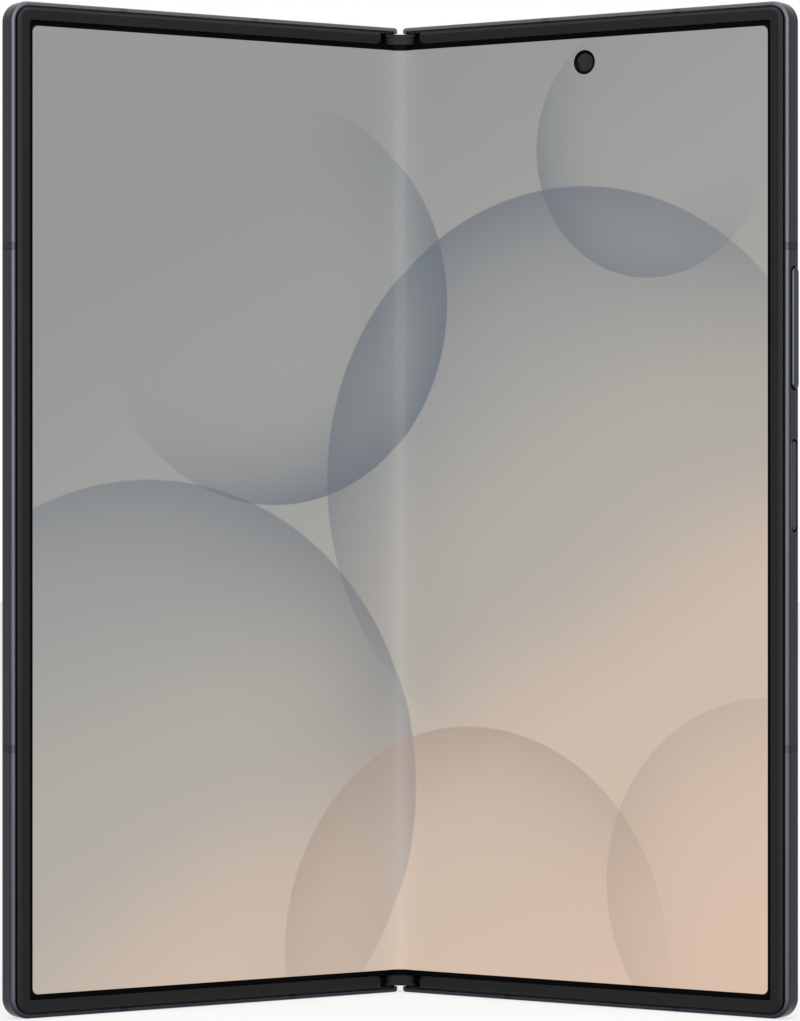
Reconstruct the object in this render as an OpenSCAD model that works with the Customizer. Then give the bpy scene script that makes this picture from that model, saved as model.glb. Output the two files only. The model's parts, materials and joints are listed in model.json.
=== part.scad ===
// Book-style foldable phone, standing half open on its lower edges.
// +X is to the right, +Y to the rear, +Z up. Both halves are drawn flat and then turned about their fold axes.
// In a flat half, X runs out from the fold, Y runs back from the screen plane and Z runs up from the lower edge.

/* [Body] */
// Height of the phone
body_h = 158.4; // [140:0.1:175]
// Width of one half, from the fold to the outer edge
half_w = 71.6; // [62:0.1:80]
// Depth of a half behind the screen plane
body_d = 3.95; // [3.95:0.05:4.6]
// Radius of the outer corners
corner_r = 3.2; // [3.2:0.1:6]
// Tilt of each half from fully open
half_tilt = 32.7; // [0:0.1:45]
// Gap from the fold plane to the inner end of a rail
gap_x = 0.48; // [0.2:0.02:0.48]

/* [Screen] */
// Thickness of the screen laminate
screen_t = 0.4; // [0.3:0.02:0.4]
// Distance of the laminate's edge from the outer edge
screen_inset = 2.85; // [2.8:0.05:3]
// How far the fold reaches into each half
fold_reach = 2.4; // [2:0.1:2.6]
// Height of the bezel above the screen plane
bezel_h = 0.25; // [0.15:0.05:0.3]
// Where the bezels end beside the fold
bezel_end = 3.8; // [3.6:0.1:4.4]
// Distance of the inner camera from the fold
eye_x = 34.9; // [20:0.1:50]
// Height of the inner camera
eye_z = 150.8; // [148:0.1:151]
// Radius of the camera hole in the screen
eye_r = 1.91; // [1.5:0.01:2.2]

/* [Edges] */
// Chamfer on the front edge of a rail
front_chamfer = 0.56; // [0.3:0.02:0.6]
// Chamfer on the rear edge of a rail
rear_chamfer = 0.85; // [0.5:0.05:1]
// Width of the rail's rim beside the bezel
rim_w = 0.62; // [0.6:0.01:0.7]
// Width of an antenna band
band_w = 1.15; // [0.8:0.05:1.6]
// Depth of an antenna band into the rail
band_t = 1; // [0.6:0.1:1.2]

/* [Keys] */
// Length of the volume rocker
rocker_l = 19; // [14:0.5:22]
// Height of the rocker's middle
rocker_z = 107.5; // [106:0.5:109]
// How far the rocker stands proud
rocker_proud = 0.4; // [0.1:0.05:0.5]
// Length of the power key
power_l = 14.1; // [10:0.1:16]
// Height of the power key's middle
power_z = 83; // [80:0.5:85]
// Width of both keys across the rail
key_w = 1.8; // [1.4:0.1:1.9]
// Gap around a key
key_gap = 0.12; // [0.06:0.01:0.14]
// Extra room at the ends of a key
key_end_gap = 0.15; // [0:0.05:0.3]

/* [Hinge] */
// Distance of each fold axis from the fold plane
axis_x = 0.5; // [0.5:0.05:0.6]
// Outer radius of the spine
spine_r = 3.35; // [3.2:0.05:3.35]
// Wall of the spine
spine_wall = 0.35; // [0.3:0.05:0.4]
// Height of the upper hinge's middle above the phone's middle
hinge_z = 45.8; // [35:0.1:55]
// Gear module
gear_m = 0.1; // [0.1:0.01:0.1]
// Teeth that a full turn of a rotator would have
sector_teeth = 38; // [38:2:38]
// Teeth of a pinion
pinion_teeth = 9; // [9:2:9]
// Teeth of an idler
idler_teeth = 17; // [17:2:17]
// Tilt of a wing plate for each degree of fold
wing_ratio = 0.038; // [0.03:0.001:0.038]

/* [Rear] */
// Outer edge of the camera island, from the fold
island_x = 69; // [66:0.5:69]
// Width of the camera island
island_w = 14.6; // [13:0.1:16]
// Length of the camera island
island_l = 46.5; // [44:0.5:48]
// Top of the camera island
island_top = 154; // [150:0.5:154]
// How far the island stands out
island_h = 2.3; // [1.5:0.1:3]
// Thickness of the outer glass
glass_t = 0.6; // [0.5:0.05:0.6]

/* [Hidden] */

mid_z = body_h / 2;
// Rows of the rail's section, as distances from the outer edge and depths from the screen plane
ledge_y = 0.42;
rail_in = 2.1;
glass_inset = 1.3;
glass_y = body_d - glass_t - 0.05;
glass_gap = 0.05;
screen_r = 0.7;
// The bezel's section
bezel_in = 3.15;
bezel_leg = 2.75;
bezel_out = 1.08;
bezel_slope = 0.55;
bezel_foot = 0.4;
// How much nearer the ends the bezels' short arms lie than their long arms lie to the sides
bezel_grow = 0.25;
// The plate in the middle of each frame, and the pocket beside the fold
mid_y0 = 0.62;
mid_y1 = 1.1;
floor_y0 = 1.7;
floor_y1 = 2.2;
pocket_x = 13.2;
bar_x = 5.4;
bar_ledge_x = 6.2;
// The spine's sections
rail_end_t = 1;
rail_end_x = 3.95;
rail_end_cut = 0.5;
spine_gap = 0.15;
spine_z0 = rail_end_t + 0.1;
spine_in = spine_r - spine_wall;
wall_top = 1.75;
bracket_r = spine_in - 0.02;
bracket_top = 0.78;
cap_w = 5.26;
cap_y = -0.1;
// Rotators
arm_y0 = 1.3;
arm_y1 = 1.65;
runner_r = 2.6;
sector_cut = 1.25;
sector_in = 1.55;
sector_end = 146;
base_x0 = 4.3;
base_x1 = 9.6;
base_z0 = -1.6;
base_z1 = 9.4;
// Wing plates
wing_x0 = 0.9;
wing_x1 = 11.9;
wing_y0 = 0.42;
wing_y1 = 0.6;
wing_inset = 3.6;
// Gears: the four of a train lie in one row behind the fold
sector_r = gear_m * sector_teeth / 2;
pinion_r = gear_m * pinion_teeth / 2;
idler_r = gear_m * idler_teeth / 2;
pinion_x = 2 * idler_r + pinion_r;
gear_y = sqrt(pow(sector_r + pinion_r, 2) - pow(pinion_x - axis_x, 2));
long_addendum = 0.9 * gear_m;
short_addendum = 0.55 * gear_m;
dedendum = 1.25 * gear_m;
pressure = 20;
play = 0.012;
journal_r = 0.3;
end_gap = 0.05;
pinion_room = pinion_r + long_addendum + end_gap;
bearing_gap = 0.03;
// Stations along a hinge, from its middle
chain_z = 0.75;
web_z = 1.35;
sector_z = 2.85;
runner_z = 5.85;
wall_z = 6.65;
foot_z = 9.65;
screw_z = (wall_z + foot_z) / 2;
screw_step = 7.8;
spring_t = 0.15;
spring_r = 1.95;
foot_top = 2.3;
head_t = 0.3;
// Screws
rotator_screw_x = 7;
rotator_screw_r = 0.55;
hinge_screw_r = 0.4;
// Keys
key_y = 1.85;
key_in = half_w - 1.65;
flange_t = 0.4;
flange_l = 0.7;
flange_y0 = 0.95;
flange_y1 = 2.75;
switch_x = 69;
// Lower edge
usb_x = 36;
usb_y = 1.87;
usb_w = 8.34;
usb_open = 2.46;
usb_wall = 0.18;
usb_l = 7.2;
grille_y = 1.85;
grille_r = 0.55;
grille_pitch = 1.75;
mic_r = 0.35;
mic_x = 26;
// SIM tray in the left half's upper edge
sim_x = 19.9;
sim_y = 1.9;
door_w = 12.6;
tray_w = 11.2;
door_t = 1.9;
tray_t = 0.7;
tray_z = 137;
card_w = 8.8;
card_z = 139.05;
card_l = 12.3;
card_gap = 0.05;
// Rear cameras
lens_r = 5.5;
lens_pitch = 15.4;
lens_glass_r = 4.6;
island_r = island_w / 2 - 0.4;
lens_x = island_x - island_w / 2;
flash_x = 49.6;
flash_z = island_top - 22.9;
flash_r = 2.4;
// Outer camera in the left half
cover_eye_x = 37.5;
cover_eye_z = 150.6;
cover_eye_r = 1.7;
// Inner parts, from the plate in the middle of a frame to their rear faces
inner_y = mid_y1 + 0.1;
board_y = mid_y1 + 0.7;
left_rear = 2.85;
right_rear = 3.05;
shield_rear = 2.8;
// Their outlines in the flat half, as [x0, x1, z0, z1]
left_cell = [16, 67, 31, 120];
right_cell = [16, 67, 40.5, 103.5];
small_board = [15, 68, 123.5, 155.5];
large_board = [15, 67.6, 106.5, 155.5];
left_sounder = [38, 66, 3, 26];
right_sounder = [43, 67, 3, 24];
ear_sounder = [43.4, 56.4, 150.8, 155.6];
motor = [16, 28, 14, 34];
shields = [[19, 34, 111, 128], [36, 53, 109, 127], [19, 30, 131, 149]];
board_screws_at = [[17, 153.4], [46.5, 153.4], [17, 108.4]];
board_screw_r = 0.5;
coil = [41.5, 72];
coil_r0 = 10;
coil_r1 = 22;
cable_z0 = 72;
cable_z1 = 86;
cable_t = 0.1;
// Ribs behind the plate
rib_t = 0.8;
left_ribs = [29, 121.6];
right_ribs = [39, 105];
// Antenna bands
side_bands = [42.1, 120.2];
top_bands = [27.5, 51.7];
bottom_bands = [20.5, 51.7];

// The phone stands with its box centred on the origin
front_reach = (half_w - front_chamfer - axis_x) * sin(half_tilt);
rear_reach = (axis_x - gap_x) * sin(half_tilt) + body_d * cos(half_tilt);
fold_y = (front_reach - rear_reach) / 2;

$fn = 48;

// ---- Placing ----
module on_right() {
    translate([axis_x, fold_y, 0]) rotate([0, 0, -half_tilt]) translate([-axis_x, 0, 0]) children();
}

module on_left() {
    mirror([1, 0, 0]) on_right() children();
}

module on_spine() {
    translate([0, fold_y, 0]) children();
}

module block(x0, x1, y0, y1, z0, z1) {
    translate([x0, y0, z0]) cube([x1 - x0, y1 - y0, z1 - z0]);
}

// A section in X and Y, run along Z
module bar(z0, z1) {
    translate([0, 0, z0]) linear_extrude(z1 - z0) children();
}

// An outline in X and Z, with its thickness along Y
module plate(y0, y1) {
    translate([0, y1, 0]) rotate([90, 0, 0]) linear_extrude(y1 - y0) children();
}

module disc_y(x, z, r, y0, y1) {
    plate(y0, y1) translate([x, z]) circle(r);
}

// A section given as distance from the outer edge and depth, run around the three outer edges of a half
module around(x_in, grow = 0) {
    corner_x = half_w - corner_r;
    translate([half_w, 0, corner_r - grow])
        linear_extrude(body_h + 2 * (grow - corner_r)) mirror([1, 0]) children();
    for (top = [0, 1]) {
        translate([0, 0, top ? body_h + grow : -grow]) mirror([0, 0, top]) {
            translate([x_in, 0, 0]) mirror([0, 0, 1]) rotate([0, 90, 0])
                linear_extrude(corner_x - x_in) children();
            translate([corner_x, 0, corner_r]) rotate([-90, 0, 0])
                rotate_extrude(angle = 90) translate([corner_r, 0]) mirror([1, 0]) children();
        }
    }
}

module at_side(z, w) {
    translate([half_w, 0, z - w / 2]) linear_extrude(w) mirror([1, 0]) children();
}

module at_end(x, w, top) {
    translate([0, 0, top * body_h]) mirror([0, 0, top])
        translate([x - w / 2, 0, 0]) mirror([0, 0, 1]) rotate([0, 90, 0]) linear_extrude(w) children();
}

module at_bands() {
    for (z = side_bands) at_side(z, band_w) children();
    for (x = top_bands) at_end(x, band_w, 1) children();
    for (x = bottom_bands) at_end(x, band_w, 0) children();
}

// ---- Outlines ----
module sheet(x0, x1, z0, z1, r) {
    translate([x0, z0 + r]) square([x1 - x0, z1 - z0 - 2 * r]);
    translate([x0 + r, z0]) square([x1 - x0 - 2 * r, z1 - z0]);
    for (x = [x0 + r, x1 - r], z = [z0 + r, z1 - r]) translate([x, z]) circle(r);
}

module panel(p, r) {
    sheet(p[0], p[1], p[2], p[3], r);
}

// Rounded at its outer corners only
module half_sheet(x0, x1, z0, z1, r) {
    sheet(x1 - 4 * r, x1, z0, z1, r);
    translate([x0, z0]) square([x1 - 2 * r - x0, z1 - z0]);
}

module slot(l, w) {
    square([l - w, w], center = true);
    for (s = [-1, 1]) translate([s * (l - w) / 2, 0]) circle(w / 2);
}

module key_slot(l, w, x0, x1, z) {
    translate([x0, key_y, z]) rotate([0, 90, 0]) linear_extrude(x1 - x0) slot(l, w);
}

module end_slot(x, y, l, w, z0, z1) {
    bar(z0, z1) translate([x, y]) slot(l, w);
}

module ring(r0, r1) {
    difference() {
        circle(r1);
        circle(r0);
    }
}

// ---- Frames ----
module rail_section() {
    polygon([
        [rim_w, 0], [front_chamfer, 0], [0, front_chamfer], [0, body_d - rear_chamfer],
        [rear_chamfer, body_d], [glass_inset, body_d], [glass_inset, glass_y],
        [rail_in, glass_y], [rail_in, ledge_y], [rim_w, ledge_y]
    ]);
}

module rails() {
    difference() {
        union() {
            around(gap_x) rail_section();
            for (z = [front_chamfer, body_h - rail_end_t])
                block(gap_x, gap_x + rim_w, 0, ledge_y + 0.1, z, z + rail_end_t - front_chamfer);
        }
        block(-1, rail_end_x, -1, body_d + 1, rail_end_t, body_h - rail_end_t);
        for (z = [0, body_h]) translate([gap_x, -1, z]) rotate([0, 45, 0])
            translate([-rail_end_cut / sqrt(2), 0, -rail_end_cut / sqrt(2)])
                cube([rail_end_cut * sqrt(2), body_d + 2, rail_end_cut * sqrt(2)]);
        at_bands() translate([-1, -1]) square([1 + band_t, body_d + 2]);
    }
}

// The edge that covers the spine, with the floor of the wing pocket
module hinge_bar() {
    bar(rail_end_t, body_h - rail_end_t) difference() {
        union() {
            translate([gap_x, floor_y0]) square([bar_x - gap_x, body_d - floor_y0]);
            translate([bar_x - 1, floor_y0]) square([bar_ledge_x - bar_x + 1, glass_y - floor_y0]);
            translate([bar_x - 1, floor_y0]) square([pocket_x - bar_x + 1, floor_y1 - floor_y0]);
            translate([pocket_x - 1, mid_y0]) square([1, floor_y1 - mid_y0]);
        }
        translate([axis_x, 0]) circle(spine_r + spine_gap);
        translate([-1, 0]) square([1 + axis_x, spine_r + spine_gap]);
    }
}

module frame_shell(rib_y, ribs) {
    rails();
    hinge_bar();
    block(pocket_x - 0.5, half_w - rail_in + 0.2, mid_y0, mid_y1, rail_in - 0.2, body_h - rail_in + 0.2);
    for (z = ribs) block(pocket_x, half_w - rail_in + 0.2, mid_y1 - 0.1, rib_y, z - rib_t / 2, z + rib_t / 2);
}

module grille(x0, n, top) {
    for (i = [0:n - 1])
        translate([x0 + i * grille_pitch, grille_y, top * (body_h - rail_in - 1) - 0.5])
            cylinder(h = rail_in + 1.5, r = grille_r);
}

module mic_hole(x, top) {
    translate([x, grille_y, top * (body_h - rail_in - 1) - 0.5]) cylinder(h = rail_in + 1.5, r = mic_r);
}

module left_frame() {
    color("#3d434d") on_left() difference() {
        frame_shell(left_rear + 0.05, left_ribs);
        half_screw_holes(-1);
        end_slot(sim_x, sim_y, door_w + 2 * key_gap, door_t + 2 * key_gap,
            body_h - rail_in - 0.5, body_h + 1);
        mic_hole(sim_x + door_w / 2 + 3.1, 1);
        grille(43, 5, 1);
        grille(40, 6, 0);
        mic_hole(mic_x, 0);
    }
}

module right_frame() {
    color("#3d434d") on_right() difference() {
        frame_shell(right_rear + 0.15, right_ribs);
        half_screw_holes(1);
        end_slot(usb_x, usb_y, usb_w + 2 * usb_wall, usb_open + 2 * usb_wall, -1, usb_l);
        grille(44, 4, 0);
        mic_hole(mic_x, 0);
        mic_hole(36, 1);
        disc_y(eye_x, eye_z, eye_r + 0.9, -1, mid_y1 + 1);
        key_pocket(rocker_l, rocker_z);
        key_pocket(power_l, power_z);
        for (p = board_screws_at) disc_y(p[0], p[1], board_screw_r, 0.8, mid_y1 + 1);
    }
}

module key_pocket(l, z) {
    key_slot(l + 2 * (key_gap + key_end_gap), key_w + 2 * key_gap, key_in, half_w + 1, z);
    block(half_w - rail_in - 0.3, key_in + flange_t - 0.05, flange_y0 - 0.2, flange_y1 + 0.2,
        z - l / 2 - flange_l - 0.3, z + l / 2 + flange_l + 0.3);
}

module half_screw_holes(s) {
    for (zc = hinge_places(), z = screw_stations(s))
        disc_y(rotator_screw_x, zc + z, rotator_screw_r, arm_y0 - 0.5, floor_y1 + 1);
}

module band_section() {
    intersection() {
        rail_section();
        translate([-1, -1]) square([1 + band_t, body_d + 2]);
    }
}

module left_antenna_bands() {
    color("#6f747c") on_left() at_bands() band_section();
}

module right_antenna_bands() {
    color("#6f747c") on_right() at_bands() band_section();
}

// ---- Bezels and the inner screen ----
module bezel() {
    around(bezel_end, bezel_grow) polygon([
        [bezel_in, -0.02], [bezel_in, 0.1 - bezel_h], [bezel_in - 0.1, -bezel_h],
        [bezel_out + bezel_slope, -bezel_h], [bezel_out, 0.1], [bezel_out, bezel_foot],
        [bezel_leg, bezel_foot], [bezel_leg, -0.02]
    ]);
}

module left_bezel() {
    color("#242426") on_left() bezel();
}

module right_bezel() {
    color("#242426") on_right() bezel();
}

module screen_outline(x0) {
    half_sheet(x0, half_w - screen_inset, screen_inset, body_h - screen_inset, screen_r);
}

module left_screen_panel() {
    color("#a8a49d") on_left() plate(0, screen_t) screen_outline(fold_reach);
}

module right_screen_panel() {
    color("#c8b4a2") on_right() plate(0, screen_t) difference() {
        screen_outline(fold_reach);
        translate([eye_x, eye_z]) circle(eye_r + 0.04);
    }
}

// The fold turns smoothly from one half to the other
fold_row = axis_x + (fold_reach - axis_x) * cos(half_tilt);
fold_steps = 16;
function smooth(t) = t * t * (3 - 2 * t);
function fold_turn(x) = half_tilt * smooth(min(1, abs(x) / fold_row));
function fold_point(x, t) = let (a = fold_turn(x))
    [x + sign(x) * t * sin(a), (axis_x - abs(x)) * tan(a) + t * cos(a)];

module screen_fold() {
    color("#b8aca0") on_spine() bar(screen_inset, body_h - screen_inset) polygon(concat(
        [for (i = [-fold_steps:fold_steps]) fold_point(fold_row * i / fold_steps, 0)],
        [for (i = [fold_steps:-1:-fold_steps]) fold_point(fold_row * i / fold_steps, screen_t)]
    ));
}

module support_plate() {
    plate(screen_t, mid_y0 - 0.02) difference() {
        half_sheet(pocket_x - 1, half_w - screen_inset, screen_inset, body_h - screen_inset, screen_r);
        children();
    }
}

module left_support_plate() {
    color("#8b8f94") on_left() support_plate();
}

module right_support_plate() {
    color("#8b8f94") on_right() support_plate() {
        translate([eye_x, eye_z]) circle(eye_r + 0.5);
        translate([usb_x - usb_w / 2 - 0.5, 0]) square([usb_w + 1, usb_l + 0.5]);
    }
}

// ---- Spine ----
module spine_shape(r) {
    for (s = [-1, 1]) translate([s * axis_x, 0]) circle(r, $fn = 64);
    translate([-axis_x, 0]) square([2 * axis_x, r]);
}

module below(y) {
    translate([-10, y]) square([20, 10]);
}

function hinge_places() = [mid_z - hinge_z, mid_z + hinge_z];
function screw_stations(s) = [0, s * screw_step];

module hinge_cover() {
    color("#3a4049") on_spine() difference() {
        bar(spine_z0, body_h - spine_z0) difference() {
            intersection() {
                spine_shape(spine_r);
                below(wall_top);
            }
            spine_shape(spine_in);
        }
        for (zc = hinge_places(), s = [-1, 1])
            disc_y(0, zc + s * screw_z, hinge_screw_r, spine_in - 1, spine_in + 0.2);
    }
}

module hinge_cap(z0, z1) {
    on_spine() bar(z0, z1) {
        intersection() {
            spine_shape(bracket_r);
            below(wall_top);
        }
        difference() {
            translate([-cap_w / 2, cap_y]) square([cap_w, wall_top + 0.4 - cap_y]);
            for (s = [-1, 1]) translate([s * cap_w / 2, cap_y]) rotate(45) square(0.5, center = true);
        }
    }
}

module upper_hinge_cap() {
    color("#303135") hinge_cap(body_h - screen_inset + 0.05, body_h - spine_z0);
}

module lower_hinge_cap() {
    color("#303135") hinge_cap(spine_z0, screen_inset - 0.05);
}

module bracket_outline() {
    intersection() {
        spine_shape(bracket_r);
        below(bracket_top);
    }
}

module foot_outline() {
    intersection() {
        spine_shape(bracket_r);
        below(foot_top);
    }
}

module pocket_above(x0, x1) {
    translate([x0, 0]) square([x1 - x0, gear_y]);
}

module bearing_holes() {
    for (s = [-1, 1], x = [idler_r, pinion_x])
        translate([s * x, gear_y]) circle(journal_r + bearing_gap);
}

// Room for a rotator and its pinion, on the right rotator's side of a hinge
module side_room() {
    bar(web_z, sector_z) {
        translate([axis_x, 0]) circle(sector_r + short_addendum + 0.06);
        translate([pinion_x, gear_y]) circle(pinion_room);
        pocket_above(pinion_x - pinion_room, pinion_x + pinion_room);
    }
    bar(sector_z, runner_z) {
        translate([axis_x, 0]) circle(runner_r + end_gap);
        translate([-5, 0]) square([10, wall_top]);
    }
    disc_y(0, screw_z, hinge_screw_r, foot_top - head_t, spine_r);
}

module chain_room() {
    for (s = [-1, 1]) {
        translate([s * pinion_x, gear_y]) circle(pinion_room);
        translate([s * idler_r, gear_y]) circle(idler_r + short_addendum + end_gap);
    }
    pocket_above(-pinion_x - pinion_room, pinion_x + pinion_room);
}

module bracket(zc) {
    on_spine() translate([0, 0, zc]) difference() {
        union() {
            bar(-wall_z, wall_z) bracket_outline();
            for (z = [-foot_z, wall_z]) bar(z, z + foot_z - wall_z) foot_outline();
        }
        side_room();
        rotate([0, 180, 0]) side_room();
        bar(-chain_z, chain_z) chain_room();
        bar(-web_z, web_z) bearing_holes();
    }
}

module upper_hinge_bracket() {
    color("#7d828a") bracket(mid_z + hinge_z);
}

module lower_hinge_bracket() {
    color("#7d828a") bracket(mid_z - hinge_z);
}

module hinge_screws() {
    color("#c9ccd1") on_spine() for (zc = hinge_places(), s = [-1, 1]) {
        z = zc + s * screw_z;
        disc_y(0, z, 0.75, foot_top - head_t, foot_top);
        disc_y(0, z, hinge_screw_r, foot_top, spine_in + 0.2);
    }
}

module friction_springs() {
    color("#b9bcc2") on_spine() for (zc = hinge_places(), s = [0, 1])
        translate([0, 0, zc]) rotate([0, 180 * s, 0]) bar(runner_z - spring_t, runner_z) intersection() {
            translate([axis_x, 0]) circle(spring_r);
            below(wall_top - 0.6);
        }
}

// The cable lies on both pocket floors and dips through the spine
function to_row(p) = [
    axis_x + (p[0] - axis_x) * cos(half_tilt) + p[1] * sin(half_tilt),
    p[1] * cos(half_tilt) - (p[0] - axis_x) * sin(half_tilt)
];
cable_run = [
    [0, 2.55], [0.9, 2.5], [1.8, 2.1], [2.6, 1.3],
    to_row([3.7, 1.35]), to_row([5, 1.5]), to_row([11.6, 1.5])
];
cable_last = len(cable_run) - 1;

module hinge_flex_cable() {
    run = concat([for (i = [cable_last:-1:1]) [-cable_run[i][0], cable_run[i][1]]], cable_run);
    last = len(run) - 1;
    color("#a86b32") on_spine() bar(cable_z0, cable_z1) polygon(concat(
        run,
        [for (i = [last:-1:0]) run[i] + [0, cable_t]]
    ));
}

// ---- Gears ----
function involute(a) = tan(a) * 180 / PI - a;
function tooth_half(n, r) = let (base = gear_m * n / 2 * cos(pressure))
    90 / n + involute(pressure) - involute(acos(min(1, base / max(r, base))))
    - play / (gear_m * n / 2) * 180 / PI;
function polar(r, a) = [r * cos(a), r * sin(a)];

module gear(n, phase, addendum) {
    r = gear_m * n / 2;
    rows = [r - dedendum, r - 0.4 * gear_m, r, r + addendum];
    polygon([
        for (i = [0:n - 1])
            for (side = [-1, 1])
                for (k = [0:3])
                    let (row = rows[side < 0 ? k : 3 - k])
                        polar(row, phase + 360 * i / n + side * tooth_half(n, row))
    ]);
}

// Angle from a fold axis to its pinion, and the phases that put the train in mesh
pinion_dir = atan2(gear_y, pinion_x - axis_x);
idler_pitch = 360 / idler_teeth;
pinion_pitch = 360 / pinion_teeth;
sector_pitch = 360 / sector_teeth;
pinion_phase = pinion_pitch / 2;
right_idler_phase = 180;
left_idler_phase = idler_pitch / 2;
right_sector_phase = half_tilt + pinion_dir
    - sector_pitch * (0.5 - (pinion_dir + 180 - pinion_phase) / pinion_pitch);
left_sector_phase = half_tilt + pinion_dir
    + sector_pitch * (0.5 - (360 - pinion_dir - pinion_phase) / pinion_pitch);

module pinion(s) {
    translate([s * pinion_x, gear_y, 0]) mirror([0, 0, s > 0 ? 0 : 1]) {
        bar(-chain_z + end_gap, chain_z - end_gap) gear(pinion_teeth, pinion_phase, long_addendum);
        bar(web_z + end_gap, sector_z - end_gap) gear(pinion_teeth, pinion_phase, long_addendum);
        bar(-web_z + end_gap, web_z + 0.1) circle(journal_r);
    }
}

module idler(s, phase) {
    translate([s * idler_r, gear_y, 0]) {
        bar(-chain_z + end_gap, chain_z - end_gap) gear(idler_teeth, phase, short_addendum);
        bar(-web_z + end_gap, web_z - end_gap) circle(journal_r);
    }
}

module left_pinions() {
    color("#c2a15c") on_spine() for (zc = hinge_places()) translate([0, 0, zc]) pinion(-1);
}

module right_pinions() {
    color("#c2a15c") on_spine() for (zc = hinge_places()) translate([0, 0, zc]) pinion(1);
}

module left_idlers() {
    color("#d0b478") on_spine() for (zc = hinge_places()) translate([0, 0, zc]) idler(-1, left_idler_phase);
}

module right_idlers() {
    color("#d0b478") on_spine() for (zc = hinge_places()) translate([0, 0, zc]) idler(1, right_idler_phase);
}

// ---- Rotators ----
// Teeth from the level of the arm to the gap after the last whole one on the far side of the axis
module toothed_sector(phase) {
    last_gap = phase + sector_pitch * (floor((sector_end - phase) / sector_pitch - 0.5) + 0.5);
    reach = 1.4 * sector_r;
    intersection() {
        translate([axis_x, 0]) gear(sector_teeth, phase, short_addendum);
        union() {
            below(sector_cut);
            translate([axis_x, 0]) difference() {
                polygon([[0, 0], polar(reach, 90), polar(reach, (90 + last_gap) / 2), polar(reach, last_gap)]);
                circle(sector_in);
            }
        }
    }
}

module rotator(s, phase) {
    mirror([0, 0, s > 0 ? 0 : 1]) difference() {
        union() {
            bar(web_z + end_gap, sector_z + 2 * end_gap) toothed_sector(phase);
            bar(sector_z + end_gap, runner_z - spring_t - 0.02) {
                intersection() {
                    translate([axis_x, 0]) circle(runner_r);
                    below(arm_y0);
                }
                translate([axis_x, arm_y0]) square([base_x0 - axis_x + 0.1, arm_y1 - arm_y0]);
            }
            block(base_x0, base_x1, arm_y0, floor_y0, base_z0, base_z1);
        }
        for (z = screw_stations(1)) disc_y(rotator_screw_x, z, rotator_screw_r, arm_y0 - 1, floor_y0 + 1);
    }
}

module upper_left_rotator() {
    color("#9aa0a8") on_left() translate([0, 0, mid_z + hinge_z]) rotator(-1, left_sector_phase);
}

module lower_left_rotator() {
    color("#9aa0a8") on_left() translate([0, 0, mid_z - hinge_z]) rotator(-1, left_sector_phase);
}

module upper_right_rotator() {
    color("#9aa0a8") on_right() translate([0, 0, mid_z + hinge_z]) rotator(1, right_sector_phase);
}

module lower_right_rotator() {
    color("#9aa0a8") on_right() translate([0, 0, mid_z - hinge_z]) rotator(1, right_sector_phase);
}

module rotator_screws(s) {
    for (zc = hinge_places(), z = screw_stations(s)) {
        disc_y(rotator_screw_x, zc + z, 1, arm_y0 - 0.24, arm_y0);
        disc_y(rotator_screw_x, zc + z, rotator_screw_r, arm_y0, floor_y1);
    }
}

module left_rotator_screws() {
    color("#c9ccd1") on_left() rotator_screws(-1);
}

module right_rotator_screws() {
    color("#c9ccd1") on_right() rotator_screws(1);
}

// ---- Wing plates ----
module wing_plate() {
    turn = wing_ratio * half_tilt;
    translate([wing_x1, wing_y1, 0]) rotate([0, 0, -turn]) translate([-wing_x1, -wing_y1, 0])
        block(wing_x0, wing_x1, wing_y0, wing_y1, wing_inset, body_h - wing_inset);
}

module left_wing_plate() {
    color("#a9adb3") on_left() wing_plate();
}

module right_wing_plate() {
    color("#a9adb3") on_right() wing_plate();
}

// ---- Left half ----
module outer_glass() {
    difference() {
        sheet(bar_x + 2 * glass_gap, half_w - glass_inset - glass_gap, glass_inset + glass_gap,
            body_h - glass_inset - glass_gap, corner_r - glass_inset);
        children();
    }
}

module cover_glass() {
    color("#0d0e11") on_left() plate(glass_y + 0.05, body_d) outer_glass();
}

module cover_display() {
    color("#16171b") on_left() plate(glass_y - 0.35, glass_y) difference() {
        sheet(bar_ledge_x + 0.1, half_w - rail_in - 0.1, rail_in + 0.1, body_h - rail_in - 0.1, 1.6);
        translate([cover_eye_x, cover_eye_z]) circle(cover_eye_r + 0.05);
    }
}

module cover_camera() {
    base = 3.2;
    color("#1a1b1f") on_left() {
        disc_y(cover_eye_x, cover_eye_z, cover_eye_r, mid_y1 + 0.9, glass_y);
        block(cover_eye_x - base, cover_eye_x + base, inner_y, mid_y1 + 1,
            cover_eye_z - base, cover_eye_z + base);
    }
}

module left_battery() {
    color("#2f3135") on_left() plate(inner_y, left_rear) panel(left_cell, 1);
}

module left_sub_board() {
    color("#1d5a3a") on_left() plate(inner_y, board_y) difference() {
        panel(small_board, 1);
        translate([cover_eye_x - 3.5, cover_eye_z - 3.5]) square([7, 6.7]);
        translate([sim_x - tray_w / 2 - 0.8, tray_z - 3]) square([tray_w + 1.6, 22]);
        translate([ear_sounder[0] - 0.4, ear_sounder[2] - 0.3]) square([14, 6]);
    }
}

module earpiece() {
    color("#3b3c40") on_left() plate(inner_y, left_rear) panel(ear_sounder, 0.5);
}

module left_speaker() {
    color("#34353a") on_left() plate(inner_y, left_rear) panel(left_sounder, 1.5);
}

module sim_reader() {
    color("#b4b7bc") on_left() difference() {
        block(sim_x - tray_w / 2 - 0.4, sim_x + tray_w / 2 + 0.4, inner_y, 2.6, tray_z - 2, tray_z + 18.8);
        block(sim_x - tray_w / 2 - 0.2, sim_x + tray_w / 2 + 0.2, inner_y + 0.15, 2.45, tray_z - 1.8, body_h);
    }
}

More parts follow.
